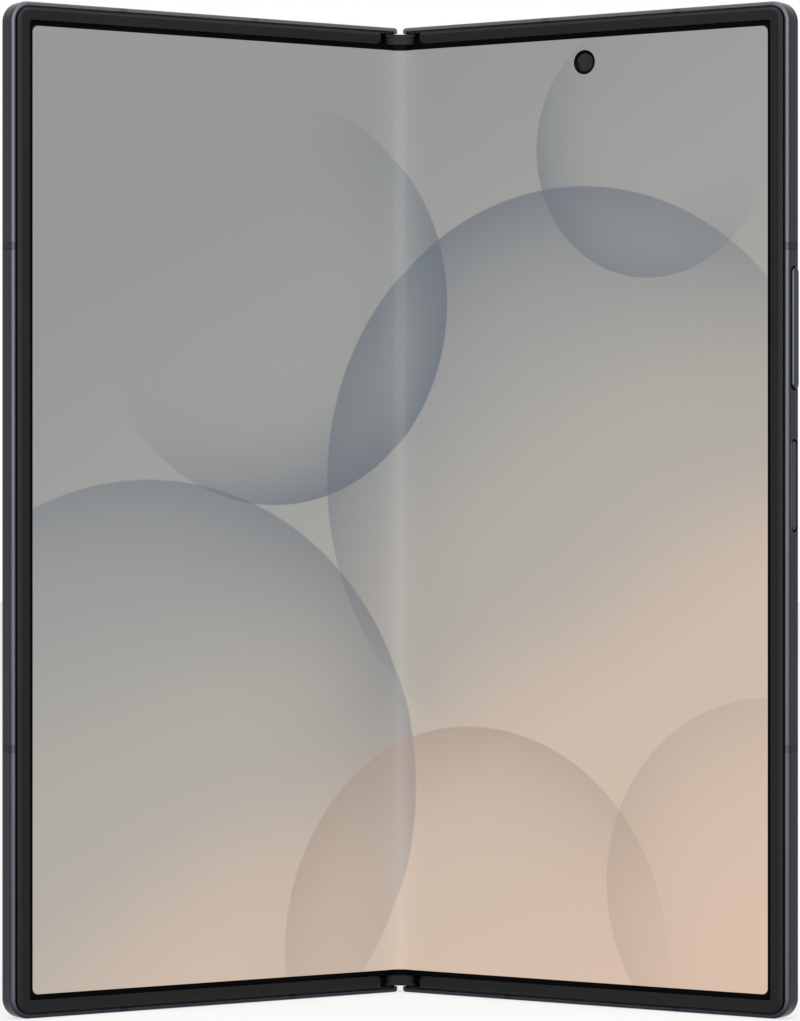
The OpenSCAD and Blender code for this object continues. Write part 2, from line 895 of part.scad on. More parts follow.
module sim_tray() {
    color("#3d434d") on_left() {
        end_slot(sim_x, sim_y, door_w, door_t, body_h - 1.2, body_h);
        difference() {
            block(sim_x - tray_w / 2, sim_x + tray_w / 2, sim_y - tray_t / 2, sim_y + tray_t / 2,
                tray_z, body_h - 1.1);
            block(sim_x - card_w / 2 - card_gap, sim_x + card_w / 2 + card_gap, sim_y - 1, sim_y + 1,
                card_z - card_gap, card_z + card_l + card_gap);
        }
    }
}

module sim_card() {
    color("#c8a23c") on_left()
        block(sim_x - card_w / 2, sim_x + card_w / 2, sim_y - 0.33, sim_y + 0.33, card_z, card_z + card_l);
}

// ---- Right half ----
module island_outline(r_add) {
    sheet(island_x - island_w - r_add, island_x + r_add,
        island_top - island_l - r_add, island_top + r_add, island_r + r_add);
}

function lens_places() = [for (i = [0:2]) [lens_x, island_top - island_w / 2 - i * lens_pitch]];

module back_glass() {
    color("#2c3038") on_right() plate(glass_y + 0.05, body_d) outer_glass() {
        island_outline(0.05);
        translate([flash_x, flash_z]) circle(flash_r + 0.03);
    }
}

module camera_island() {
    color("#343a44") on_right() difference() {
        plate(glass_y + 0.05, body_d + island_h) island_outline(0);
        for (p = lens_places()) disc_y(p[0], p[1], lens_r, glass_y - 1, body_d + island_h + 1);
    }
}

module lens_rings() {
    color("#565c66") on_right() for (p = lens_places())
        plate(body_d + island_h - 0.9, body_d + island_h + 0.5) translate(p) ring(lens_glass_r, lens_r);
}

module lens_glasses() {
    color("#0a0b0e") on_right() for (p = lens_places())
        disc_y(p[0], p[1], lens_glass_r, body_d + island_h - 0.4, body_d + island_h + 0.3);
}

module camera_modules() {
    color("#222326") on_right() for (p = lens_places()) {
        block(p[0] - 5, p[0] + 5, inner_y, glass_y - 0.1, p[1] - 5, p[1] + 5);
        disc_y(p[0], p[1], 4.2, glass_y - 0.2, body_d + island_h - 0.5);
    }
}

module camera_flash() {
    color("#e8e2d0") on_right() disc_y(flash_x, flash_z, flash_r, glass_y - 0.4, body_d);
}

module inner_camera() {
    color("#17181b") on_right() {
        disc_y(eye_x, eye_z, eye_r, 0, mid_y1 + 0.6);
        disc_y(eye_x, eye_z, eye_r + 0.85, mid_y1 - 0.3, 2.9);
    }
}

module right_battery() {
    color("#2f3135") on_right() plate(inner_y, right_rear) panel(right_cell, 1);
}

module main_board() {
    color("#1d5a3a") on_right() plate(inner_y, board_y) difference() {
        panel(large_board, 1);
        for (p = lens_places()) translate(p) square(10.2, center = true);
        translate([eye_x, eye_z]) circle(eye_r + 1);
        for (p = board_screws_at) translate(p) circle(board_screw_r);
    }
}

module board_shields() {
    color("#b9bcc0") on_right() for (p = shields) block(p[0], p[1], board_y, shield_rear, p[2], p[3]);
}

module board_screws() {
    color("#c9ccd1") on_right() for (p = board_screws_at) {
        disc_y(p[0], p[1], 2 * board_screw_r, board_y, board_y + head_t);
        disc_y(p[0], p[1], board_screw_r, 0.8, board_y);
    }
}

module key_switches() {
    color("#8d9096") on_right() for (z = [rocker_z - 6, rocker_z + 6, power_z]) {
        block(switch_x - 1.2, switch_x, mid_y1 + 0.05, 2.7, z - 2, z + 2);
        block(switch_x - 0.1, switch_x + 0.3, key_y - 0.5, key_y + 0.5, z - 0.7, z + 0.7);
    }
}

module key(l, z, out) {
    key_slot(l, key_w, key_in - 0.1, out, z);
    block(key_in - flange_t, key_in, flange_y0, flange_y1, z - l / 2 - flange_l, z + l / 2 + flange_l);
}

module volume_rocker() {
    color("#4a505a") on_right() key(rocker_l, rocker_z, half_w + rocker_proud);
}

module power_key() {
    color("#454b55") on_right() key(power_l, power_z, half_w - 0.02);
}

module usb_shell() {
    color("#a7abb1") on_right() difference() {
        end_slot(usb_x, usb_y, usb_w + 2 * usb_wall, usb_open + 2 * usb_wall, 0.4, usb_l);
        end_slot(usb_x, usb_y, usb_w, usb_open, -1, usb_l - 0.2);
    }
}

module usb_tongue() {
    color("#1e1f22") on_right()
        block(usb_x - 3.3, usb_x + 3.3, usb_y - 0.35, usb_y + 0.35, 1, usb_l - 0.2);
}

module right_speaker() {
    color("#34353a") on_right() plate(inner_y, right_rear) panel(right_sounder, 1.5);
}

module vibration_motor() {
    color("#9b9ea4") on_right() plate(inner_y, right_rear - 0.05) panel(motor, 1);
}

module charging_coil() {
    color("#b87333") on_right() plate(right_rear + 0.03, glass_y) translate(coil) ring(coil_r0, coil_r1);
}

hinge_cover();
upper_hinge_cap();
lower_hinge_cap();
upper_hinge_bracket();
lower_hinge_bracket();
hinge_screws();
friction_springs();
screen_fold();
hinge_flex_cable();
left_frame();
left_antenna_bands();
left_bezel();
left_screen_panel();
left_support_plate();
cover_glass();
cover_display();
cover_camera();
left_battery();
left_sub_board();
earpiece();
left_speaker();
sim_reader();
upper_left_rotator();
lower_left_rotator();
left_rotator_screws();
right_frame();
right_antenna_bands();
right_bezel();
right_screen_panel();
right_support_plate();
back_glass();
camera_island();
lens_rings();
lens_glasses();
camera_modules();
camera_flash();
inner_camera();
right_battery();
main_board();
board_shields();
board_screws();
key_switches();
usb_shell();
usb_tongue();
right_speaker();
vibration_motor();
charging_coil();
upper_right_rotator();
lower_right_rotator();
right_rotator_screws();
volume_rocker();
power_key();
sim_tray();
sim_card();
left_pinions();
left_idlers();
right_idlers();
right_pinions();
left_wing_plate();
right_wing_plate();
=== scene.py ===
import json
import math
from contextlib import contextmanager

import bmesh
import bpy
from mathutils import Matrix, Vector


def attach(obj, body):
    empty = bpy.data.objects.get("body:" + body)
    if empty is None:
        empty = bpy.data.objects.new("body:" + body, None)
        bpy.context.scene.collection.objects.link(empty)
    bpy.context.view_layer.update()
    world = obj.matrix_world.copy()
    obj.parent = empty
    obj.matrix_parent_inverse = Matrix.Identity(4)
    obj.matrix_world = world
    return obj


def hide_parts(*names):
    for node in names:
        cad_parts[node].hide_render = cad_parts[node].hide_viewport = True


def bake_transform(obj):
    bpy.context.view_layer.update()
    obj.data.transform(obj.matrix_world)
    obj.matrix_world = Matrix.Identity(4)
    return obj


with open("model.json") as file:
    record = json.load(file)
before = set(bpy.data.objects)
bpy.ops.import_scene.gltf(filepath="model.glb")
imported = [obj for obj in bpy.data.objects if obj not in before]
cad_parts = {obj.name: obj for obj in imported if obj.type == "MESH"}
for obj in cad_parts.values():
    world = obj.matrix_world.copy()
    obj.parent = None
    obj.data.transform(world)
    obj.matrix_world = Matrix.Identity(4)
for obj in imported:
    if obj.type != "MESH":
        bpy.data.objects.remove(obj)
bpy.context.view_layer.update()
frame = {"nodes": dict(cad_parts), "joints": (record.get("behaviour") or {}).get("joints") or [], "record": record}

# Pieces are drawn flat in millimetres: X out from the fold, Y back from the screen plane, Z up.
# place() then turns them about their fold axis and brings them to metres.
joints = {joint["name"]: joint for joint in frame["joints"]}
halfTilt = -math.radians(joints["left_fold"]["range_deg"][0])
axisX, foldY = [value * 1000 for value in joints["right_fold"]["pos_m"][:2]]
mm = 0.001

phone = {
    "height": 158.4,
    "halfWidth": 71.6,
    "depth": 3.95,
    "cornerRadius": 3.2,
    "cornerSteps": 14,
    "ledge": (0.42, 0.62),  # depth and distance in of the ledge beside the rim
    "railGap": 0.48,  # from the fold plane to a rail's inner end
}
midZ = phone["height"] / 2


# Small helpers
def onlySelect(piece):
    if bpy.context.mode != "OBJECT":
        bpy.ops.object.mode_set(mode="OBJECT")
    bpy.ops.object.select_all(action="DESELECT")
    piece.select_set(True)
    bpy.context.view_layer.objects.active = piece


def settle():  # the chosen piece's place goes into its mesh
    bpy.ops.object.transform_apply(location=True, rotation=True, scale=True)


def named(name):
    piece = bpy.context.object
    piece.name = piece.data.name = name
    settle()
    return piece


def startBlock(name, x, y, z):
    bpy.ops.object.select_all(action="DESELECT")
    bpy.ops.mesh.primitive_cube_add(
        size=1,
        location=((x[0] + x[1]) / 2, (y[0] + y[1]) / 2, (z[0] + z[1]) / 2),
        scale=(x[1] - x[0], y[1] - y[0], z[1] - z[0]),
    )
    return named(name)


def startRod(name, centre, radius, length, axis, sides=48):
    turns = {"X": (0, math.pi / 2, 0), "Y": (math.pi / 2, 0, 0), "Z": (0, 0, 0)}
    bpy.ops.object.select_all(action="DESELECT")
    bpy.ops.mesh.primitive_cylinder_add(
        vertices=sides, radius=radius, depth=length, location=centre, rotation=turns[axis]
    )
    return named(name)


def startDisc(name, x, z, radius, y, sides=64):
    return startRod(name, (x, (y[0] + y[1]) / 2, z), radius, y[1] - y[0], "Y", sides)


@contextmanager
def editing(piece):
    onlySelect(piece)
    bpy.ops.object.mode_set(mode="EDIT")
    yield
    bpy.ops.object.mode_set(mode="OBJECT")


def chooseFaces(test):  # test(centre, normal)
    bpy.ops.mesh.select_mode(type="FACE")
    bpy.ops.mesh.select_all(action="DESELECT")
    mesh = bmesh.from_edit_mesh(bpy.context.object.data)
    for face in mesh.faces:
        face.select = test(face.calc_center_median(), face.normal)
    mesh.select_flush_mode()
    bmesh.update_edit_mesh(bpy.context.object.data)


def chooseEdges(test):  # test(middle, direction)
    bpy.ops.mesh.select_mode(type="EDGE")
    bpy.ops.mesh.select_all(action="DESELECT")
    mesh = bmesh.from_edit_mesh(bpy.context.object.data)
    for edge in mesh.edges:
        a, b = edge.verts[0].co, edge.verts[1].co
        edge.select = test((a + b) / 2, (b - a).normalized())
    mesh.select_flush_mode()
    bmesh.update_edit_mesh(bpy.context.object.data)


def roundEdges(test, radius, steps):
    chooseEdges(test)
    bpy.ops.mesh.bevel(offset=radius, segments=steps, affect="EDGES")


def moveChosen(dx=0, dy=0, dz=0):
    bpy.ops.transform.translate(value=(dx, dy, dz))


def extrudeChosen(dx=0, dy=0, dz=0):
    bpy.ops.mesh.extrude_region_move(TRANSFORM_OT_translate={"value": (dx, dy, dz)})


def insetChosen(width, dy=0):
    bpy.ops.mesh.inset(thickness=width, depth=0)
    if dy:
        moveChosen(dy=dy)


def trim(point, normal, fill=True):  # keeps what lies on the normal's side
    bpy.ops.mesh.select_all(action="SELECT")
    bpy.ops.mesh.bisect(plane_co=point, plane_no=normal, use_fill=fill, clear_inner=True)


def applyAll(piece):
    onlySelect(piece)
    for modifier in list(piece.modifiers):
        bpy.ops.object.modifier_apply(modifier=modifier.name)


def combine(piece, others, operation):
    for other in others:
        modifier = piece.modifiers.new("combine", "BOOLEAN")
        modifier.operation = operation
        modifier.solver = "EXACT" if operation == "UNION" else "MANIFOLD"
        modifier.object = other
        applyAll(piece)
        bpy.data.objects.remove(other)
    return piece


def carve(piece, *cutters):
    return combine(piece, cutters, "DIFFERENCE")


def weld(piece, *others):
    return combine(piece, others, "UNION")


def keepInside(piece, *others):
    return combine(piece, others, "INTERSECT")


def twin(piece, name):
    onlySelect(piece)
    bpy.ops.object.duplicate(linked=False)
    copy = bpy.context.object
    copy.name = copy.data.name = name
    return copy


def faceOut(piece):
    with editing(piece):
        bpy.ops.mesh.select_all(action="SELECT")
        bpy.ops.mesh.normals_make_consistent(inside=False)
    return piece


def mirrored(piece):  # turns a right piece into its left twin
    onlySelect(piece)
    piece.scale.x = -1
    settle()
    return faceOut(piece)


def mirrorFor(piece, side):
    return mirrored(piece) if side == "left" else piece


def soften(piece, width, steps=2, angle=30):
    bevel = piece.modifiers.new("soften", "BEVEL")
    bevel.width = width
    bevel.segments = steps
    bevel.limit_method = "ANGLE"
    bevel.angle_limit = math.radians(angle)
    bevel.use_clamp_overlap = False
    return shade(piece)


def shade(piece, angle=35):
    applyAll(piece)
    bpy.ops.object.shade_smooth_by_angle(angle=math.radians(angle))
    weighted = piece.modifiers.new("weighted", "WEIGHTED_NORMAL")
    weighted.keep_sharp = True
    weighted.mode = "FACE_AREA"
    applyAll(piece)
    return piece


def smoothStep(t):
    t = min(1.0, max(0.0, t))
    return t * t * (3 - 2 * t)


def placing(side):
    s = {"left": -1, "right": 1, "spine": 0}[side]
    return (
        Matrix.Scale(mm, 4)
        @ Matrix.Translation((s * axisX, foldY, 0))
        @ Matrix.Rotation(-s * halfTilt, 4, "Z")
        @ Matrix.Translation((-s * axisX, 0, 0))
    )


def place(piece, side):
    onlySelect(piece)
    piece.matrix_world = placing(side)
    settle()
    return piece


def dress(piece, body, slot, nodes, *materials):
    kept = [face.material_index for face in piece.data.polygons]
    piece.data.materials.clear()  # this sets every face back to the first material
    for material in materials:
        piece.data.materials.append(material)
    for face, index in zip(piece.data.polygons, kept):
        face.material_index = min(index, len(materials) - 1)
    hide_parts(*nodes)
    if body:
        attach(piece, body)
    return piece


def tint(piece, index, *materials):  # all the piece's faces take the material at index
    for material in materials:
        piece.data.materials.append(material)
    for face in piece.data.polygons:
        face.material_index = index


def makeBoth(label, make):
    for side in ("left", "right"):
        made = make(side)
        print(label + ":", side, len(made.data.polygons), "faces")


# Shader groups
def newGroup(name, inputs, outputs):
    group = bpy.data.node_groups.new(name, "ShaderNodeTree")
    for label, kind, value in inputs:
        socket = group.interface.new_socket(name=label, in_out="INPUT", socket_type=kind)
        if value is not None:
            socket.default_value = value
    for label, kind in outputs:
        group.interface.new_socket(name=label, in_out="OUTPUT", socket_type=kind)
    nodes = group.nodes
    return group, nodes, group.links, nodes.new("NodeGroupInput"), nodes.new("NodeGroupOutput")


def mathNode(nodes, links, operation, *values, clamp=False):
    node = nodes.new("ShaderNodeMath")
    node.operation = operation
    node.use_clamp = clamp
    for slot, value in zip(node.inputs, values):
        if isinstance(value, bpy.types.NodeSocket):
            links.new(value, slot)
        else:
            slot.default_value = value
    return node.outputs[0]


def vectorNode(nodes, links, operation, *values):
    node = nodes.new("ShaderNodeVectorMath")
    node.operation = operation
    for slot, value in zip(node.inputs, values):
        if isinstance(value, bpy.types.NodeSocket):
            links.new(value, slot)
        else:
            slot.default_value = value
    return node.outputs["Value"] if operation in ("LENGTH", "DOT_PRODUCT", "DISTANCE") else node.outputs[0]


def noiseNode(nodes, links, vector, scale, detail=2.0):
    node = nodes.new("ShaderNodeTexNoise")
    node.inputs["Detail"].default_value = detail
    links.new(vector, node.inputs["Vector"])
    if isinstance(scale, bpy.types.NodeSocket):
        links.new(scale, node.inputs["Scale"])
    else:
        node.inputs["Scale"].default_value = scale
    return node.outputs["Fac"]


def rangeNode(nodes, links, value, low, high, toLow=0.0, toHigh=1.0, smooth=False):
    node = nodes.new("ShaderNodeMapRange")
    node.interpolation_type = "SMOOTHSTEP" if smooth else "LINEAR"
    for label, number in (("From Min", low), ("From Max", high), ("To Min", toLow), ("To Max", toHigh)):
        if isinstance(number, bpy.types.NodeSocket):
            links.new(number, node.inputs[label])
        else:
            node.inputs[label].default_value = number
    links.new(value, node.inputs["Value"])
    return node.outputs["Result"]


def mixNode(nodes, links, factor, colourA, colourB, blend="MIX"):
    node = nodes.new("ShaderNodeMix")
    node.data_type = "RGBA"
    node.blend_type = blend
    for index, value in ((0, factor), (6, colourA), (7, colourB)):
        slot = node.inputs[index]
        if isinstance(value, bpy.types.NodeSocket):
            links.new(value, slot)
        elif index:
            slot.default_value = (*value, 1)
        else:
            slot.default_value = value
    return node.outputs[2]


def makeSurfaceGrain():  # blasted metal or moulded plastic: fine relief, with a slow change of tone
    group, nodes, links, given, out = newGroup(
        "surfaceGrain",
        (("Grain Scale", "NodeSocketFloat", 9000.0), ("Tone Scale", "NodeSocketFloat", 60.0)),
        (("Height", "NodeSocketFloat"), ("Tone", "NodeSocketFloat")),
    )
    place3d = nodes.new("ShaderNodeTexCoord").outputs["Object"]
    links.new(noiseNode(nodes, links, place3d, given.outputs["Grain Scale"], 3.0), out.inputs["Height"])
    tone = noiseNode(nodes, links, place3d, given.outputs["Tone Scale"], 4.0)
    links.new(rangeNode(nodes, links, tone, 0.3, 0.7), out.inputs["Tone"])
    return group


def makeEdgeWear():  # a mask along outer edges, broken up by noise
    group, nodes, links, given, out = newGroup(
        "edgeWear",
        (("Reach", "NodeSocketFloat", 0.0002), ("Break Up", "NodeSocketFloat", 700.0)),
        (("Mask", "NodeSocketFloat"),),
    )
    bevel = nodes.new("ShaderNodeBevel")
    bevel.samples = 4
    links.new(given.outputs["Reach"], bevel.inputs["Radius"])
    normal = nodes.new("ShaderNodeNewGeometry").outputs["Normal"]
    facing = vectorNode(nodes, links, "DOT_PRODUCT", bevel.outputs["Normal"], normal)
    edge = rangeNode(nodes, links, facing, 0.995, 0.9)
    place3d = nodes.new("ShaderNodeTexCoord").outputs["Object"]
    broken = rangeNode(nodes, links, noiseNode(nodes, links, place3d, given.outputs["Break Up"], 3.0), 0.35, 0.6)
    links.new(mathNode(nodes, links, "MULTIPLY", edge, broken, clamp=True), out.inputs["Mask"])
    return group


def makeHandling():  # faint smears and dust, for roughness
    group, nodes, links, given, out = newGroup(
        "handling",
        (("Smear Scale", "NodeSocketFloat", 40.0), ("Dust Scale", "NodeSocketFloat", 2500.0)),
        (("Smears", "NodeSocketFloat"), ("Dust", "NodeSocketFloat")),
    )
    place3d = nodes.new("ShaderNodeTexCoord").outputs["Object"]
    stretched = nodes.new("ShaderNodeMapping")
    stretched.inputs["Scale"].default_value = (1.0, 1.0, 0.35)
    links.new(place3d, stretched.inputs["Vector"])
    smears = noiseNode(nodes, links, stretched.outputs["Vector"], given.outputs["Smear Scale"], 5.0)
    links.new(rangeNode(nodes, links, smears, 0.45, 0.75, smooth=True), out.inputs["Smears"])
    specks = nodes.new("ShaderNodeTexVoronoi")
    links.new(place3d, specks.inputs["Vector"])
    links.new(given.outputs["Dust Scale"], specks.inputs["Scale"])
    links.new(rangeNode(nodes, links, specks.outputs["Distance"], 0.16, 0.05), out.inputs["Dust"])
    return group


surfaceGrain = makeSurfaceGrain()
edgeWear = makeEdgeWear()
handling = makeHandling()


# Materials
def startMaterial(name):
    material = bpy.data.materials.new(name)
    material.use_nodes = True
    nodes, links = material.node_tree.nodes, material.node_tree.links
    return material, nodes, links, nodes["Principled BSDF"]


def placeGroup(nodes, group, **values):
    node = nodes.new("ShaderNodeGroup")
    node.node_tree = group
    for label, value in values.items():
        node.inputs[label.replace("_", " ")].default_value = value
    return node


dustColour = (0.35, 0.34, 0.32)
grainDepth = 0.00003


def makeFinish(name, look):
    material, nodes, links, shader = startMaterial(name)
    toneScale = look.get("toneScale", 60.0)
    grain = placeGroup(nodes, surfaceGrain, Grain_Scale=look["grain"], Tone_Scale=toneScale)
    tone, height = grain.outputs["Tone"], grain.outputs["Height"]
    colour = mixNode(nodes, links, tone, look["dark"], look["light"])
    rough = rangeNode(nodes, links, tone, 0, 1, look["rough"] - 0.03, look["rough"] + 0.03)
    if look.get("wear"):
        wear = placeGroup(nodes, edgeWear, Reach=look.get("wearReach", 0.0002))
        worn = mathNode(nodes, links, "MULTIPLY", wear.outputs["Mask"], look["wear"])
        colour = mixNode(nodes, links, worn, colour, look["wornColour"])
    if look.get("smears"):
        touched = placeGroup(nodes, handling)
        smear = mathNode(nodes, links, "MULTIPLY", touched.outputs["Smears"], look["smears"])
        rough = mathNode(nodes, links, "ADD", rough, smear)
        dusty = mathNode(nodes, links, "MULTIPLY", touched.outputs["Dust"], look.get("dust", 0.0))
        colour = mixNode(nodes, links, dusty, colour, dustColour)
    # Painted highlight: a brighter colour, partly the polished edge and partly the light it catches, is mixed in by
    # the polish attribute.
    if look.get("polishAndHighlightColour"):
        polishAndPaintedHighlight = nodes.new("ShaderNodeAttribute")
        polishAndPaintedHighlight.attribute_name = "polishAndPaintedHighlight"
        colour = mixNode(nodes, links, polishAndPaintedHighlight.outputs["Fac"], colour, look["polishAndHighlightColour"])
    links.new(colour, shader.inputs["Base Color"])
    links.new(rough, shader.inputs["Roughness"])
    shader.inputs["Metallic"].default_value = look.get("metallic", 0.0)
    shader.inputs["Specular IOR Level"].default_value = look.get("specular", 0.5)
    shader.inputs["Coat Weight"].default_value = look.get("coat", 0.0)
    shader.inputs["Coat Roughness"].default_value = look.get("coatRough", 0.05)
    bump = nodes.new("ShaderNodeBump")
    bump.inputs["Strength"].default_value = look.get("bump", 0.1)
    bump.inputs["Distance"].default_value = grainDepth
    links.new(height, bump.inputs["Height"])
    links.new(bump.outputs["Normal"], shader.inputs["Normal"])
    return material


# The polished colours below are painted highlights on front fillets, partly a real polished edge; recessBlackAndShade
# is a black finish that also paints the shade in recesses.
looks = {
    "railMetal": {
        "dark": (0.008, 0.009, 0.019), "light": (0.012, 0.013, 0.025), "rough": 0.34, "metallic": 1.0,
        "grain": 12000.0, "bump": 0.12, "wear": 0.15, "wornColour": (0.16, 0.165, 0.19),
        "polishAndHighlightColour": (0.118, 0.121, 0.138),
    },
    "recessBlackAndShade": {
        "dark": (0.0015, 0.0015, 0.0016), "light": (0.0025, 0.0025, 0.0027), "rough": 0.6, "specular": 0.08,
        "grain": 9000.0, "bump": 0.1,
    },
    "spineMetal": {
        "dark": (0.044, 0.047, 0.060), "light": (0.052, 0.055, 0.070), "rough": 0.28, "metallic": 1.0,
        "grain": 10000.0, "bump": 0.08, "wear": 0.2, "wornColour": (0.16, 0.165, 0.19), "smears": 0.06,
    },
    "keyMetal": {
        "dark": (0.022, 0.024, 0.036), "light": (0.028, 0.030, 0.044), "rough": 0.3, "metallic": 1.0,
        "grain": 12000.0, "bump": 0.08, "polishAndHighlightColour": (0.120, 0.124, 0.142),
    },
    "islandMetal": {
        "dark": (0.050, 0.053, 0.067), "light": (0.060, 0.063, 0.079), "rough": 0.36, "metallic": 1.0,
        "grain": 11000.0, "bump": 0.12, "wear": 0.2, "wornColour": (0.18, 0.185, 0.21), "smears": 0.05,
    },
    "ringMetal": {
        "dark": (0.10, 0.105, 0.12), "light": (0.12, 0.125, 0.145), "rough": 0.2, "metallic": 1.0,
        "grain": 16000.0, "bump": 0.04,
    },
    "antennaPlastic": {
        "dark": (0.002, 0.003, 0.010), "light": (0.004, 0.005, 0.013), "rough": 0.4, "metallic": 1.0,
        "grain": 8000.0, "bump": 0.15, "polishAndHighlightColour": (0.085, 0.087, 0.100),
    },
    "bezelPlastic": {
        "dark": (0.0045, 0.0045, 0.0050), "light": (0.0060, 0.0060, 0.0066), "rough": 0.42, "specular": 0.18,
        "grain": 9000.0, "bump": 0.15, "smears": 0.05, "dust": 0.03,
    },
    "screenBorder": {
        "dark": (0.0012, 0.0012, 0.0013), "light": (0.0018, 0.0018, 0.0019), "rough": 0.3, "specular": 0.02,
        "grain": 4000.0, "bump": 0.02, "smears": 0.06, "dust": 0.002,
    },
    "capPlastic": {
        "dark": (0.004, 0.004, 0.0045), "light": (0.006, 0.006, 0.0065), "rough": 0.4, "specular": 0.16,
        "grain": 8000.0, "bump": 0.1,
    },
    "eyeGloss": {
        "dark": (0.0010, 0.0010, 0.0011), "light": (0.0016, 0.0016, 0.0018), "rough": 0.3, "specular": 0.02,
        "grain": 5000.0, "bump": 0.02,
    },
    "barrelBlack": {
        "dark": (0.004, 0.004, 0.005), "light": (0.007, 0.007, 0.008), "rough": 0.5, "specular": 0.3,
        "grain": 9000.0, "bump": 0.1,
    },
    "backGlass": {
        "dark": (0.020, 0.024, 0.036), "light": (0.024, 0.028, 0.042), "rough": 0.38, "specular": 0.5,
        "coat": 0.25, "coatRough": 0.3, "grain": 15000.0, "bump": 0.06, "smears": 0.08, "dust": 0.06,
    },
    "coverGlass": {
        "dark": (0.003, 0.003, 0.004), "light": (0.004, 0.004, 0.005), "rough": 0.07, "specular": 0.5,
        "coat": 0.5, "coatRough": 0.03, "grain": 3000.0, "bump": 0.01, "smears": 0.10, "dust": 0.08,
    },
    "contactGold": {
        "dark": (0.60, 0.42, 0.16), "light": (0.70, 0.50, 0.20), "rough": 0.25, "metallic": 1.0,
        "grain": 8000.0, "bump": 0.05,
    },
    "flashWindow": {
        "dark": (0.70, 0.66, 0.52), "light": (0.80, 0.76, 0.62), "rough": 0.25, "specular": 0.5,
        "coat": 0.6, "coatRough": 0.05, "grain": 4000.0, "bump": 0.1,
    },
    "steelParts": {
        "dark": (0.42, 0.43, 0.45), "light": (0.52, 0.53, 0.55), "rough": 0.3, "metallic": 1.0,
        "grain": 6000.0, "bump": 0.12, "wear": 0.3, "wornColour": (0.7, 0.7, 0.72),
    },
    "gearBrass": {
        "dark": (0.58, 0.42, 0.19), "light": (0.70, 0.53, 0.26), "rough": 0.27, "metallic": 1.0,
        "grain": 9000.0, "bump": 0.1,
    },
    "copperFilm": {
        "dark": (0.48, 0.22, 0.10), "light": (0.62, 0.31, 0.15), "rough": 0.32, "metallic": 1.0,
        "grain": 7000.0, "bump": 0.1,
    },
    "batteryFilm": {
        "dark": (0.018, 0.018, 0.020), "light": (0.028, 0.028, 0.031), "rough": 0.45, "specular": 0.4,
        "grain": 1500.0, "bump": 0.4, "toneScale": 200.0,
    },
    "solderMask": {
        "dark": (0.006, 0.060, 0.030), "light": (0.010, 0.085, 0.042), "rough": 0.35, "specular": 0.5,
        "coat": 0.3, "grain": 2500.0, "bump": 0.3, "toneScale": 900.0,
    },
    "blackParts": {
        "dark": (0.008, 0.008, 0.009), "light": (0.014, 0.014, 0.016), "rough": 0.5, "specular": 0.4,
        "grain": 7000.0, "bump": 0.2,
    },
    "cardPlastic": {
        "dark": (0.72, 0.70, 0.66), "light": (0.80, 0.78, 0.74), "rough": 0.4, "specular": 0.5,
        "grain": 9000.0, "bump": 0.1,
    },
}
finishes = {name: makeFinish(name, look) for name, look in looks.items()}
print("finishes:", len(finishes))


# The wallpaper: soft translucent discs on a grey to peach ground. The UV map holds decimetres on the open screen.
wallpaper = {
    "litHalfWidth": 67.89,
    "litLow": 3.76,
    "litHigh": 154.64,
    "litCorner": 1.0,
    "ground": (  # place down the diagonal, colour
        (0.00, (0.300, 0.305, 0.300)),
        (0.30, (0.345, 0.345, 0.335)),
        (0.52, (0.435, 0.405, 0.365)),
        (0.72, (0.610, 0.490, 0.400)),
        (1.00, (0.690, 0.515, 0.405)),
    ),
    "slate": (0.130, 0.155, 0.190),
    "clay": (0.380, 0.290, 0.235),
    "discs": (  # centre x and z, radius, direction of the dark side, darkness, tint
        (-24.0, 113.0, 33.0, (0.80, -0.60), 0.80, "slate"),
        (33.0, 84.0, 47.0, (-0.55, 0.83), 0.70, "slate"),
        (-47.0, 34.0, 50.0, (0.55, 0.83), 0.55, "slate"),
        (47.0, 137.0, 21.0, (-0.7, -0.7), 0.55, "slate"),
        (14.0, 8.0, 36.0, (-0.35, 0.93), 0.60, "clay"),
        (69.0, 20.0, 30.0, (-0.9, 0.4), 0.35, "clay"),
    ),
    "slope": (0.85, 0.0032),  # how fast the ground runs on downwards and across
    "tall": 151,
    "waver": (0.012, 0.16),  # scale and amount
    "strength": 1.0,
    "paintedCreaseHighlight": ((4.2, 0.020), (7.0, 0.012)),  # painted crease highlight: reach from the fold, amount
}


def makeDiscShade():  # darkness inside one disc, strongest at its rim on one side
    group, nodes, links, given, out = newGroup(
        "discShade",
        (
            ("Vector", "NodeSocketVector", None), ("Centre", "NodeSocketVector", None),
            ("Radius", "NodeSocketFloat", 10.0), ("Direction", "NodeSocketVector", None),
        ),
        (("Shade", "NodeSocketFloat"),),
    )
    offset = vectorNode(nodes, links, "SUBTRACT", given.outputs["Vector"], given.outputs["Centre"])
    reach = mathNode(nodes, links, "DIVIDE", vectorNode(nodes, links, "LENGTH", offset), given.outputs["Radius"])
    inside = rangeNode(nodes, links, reach, 0.997, 1.003, 1.0, 0.0)
    rim = mathNode(nodes, links, "POWER", reach, 3.0)
    along = vectorNode(nodes, links, "DOT_PRODUCT", offset, given.outputs["Direction"])
    side = mathNode(nodes, links, "DIVIDE", along, given.outputs["Radius"])
    lean = rangeNode(nodes, links, side, -0.6, 1.0, smooth=True)
    shaded = mathNode(nodes, links, "MULTIPLY", mathNode(nodes, links, "MULTIPLY", rim, lean), inside)
    links.new(shaded, out.inputs["Shade"])
    return group


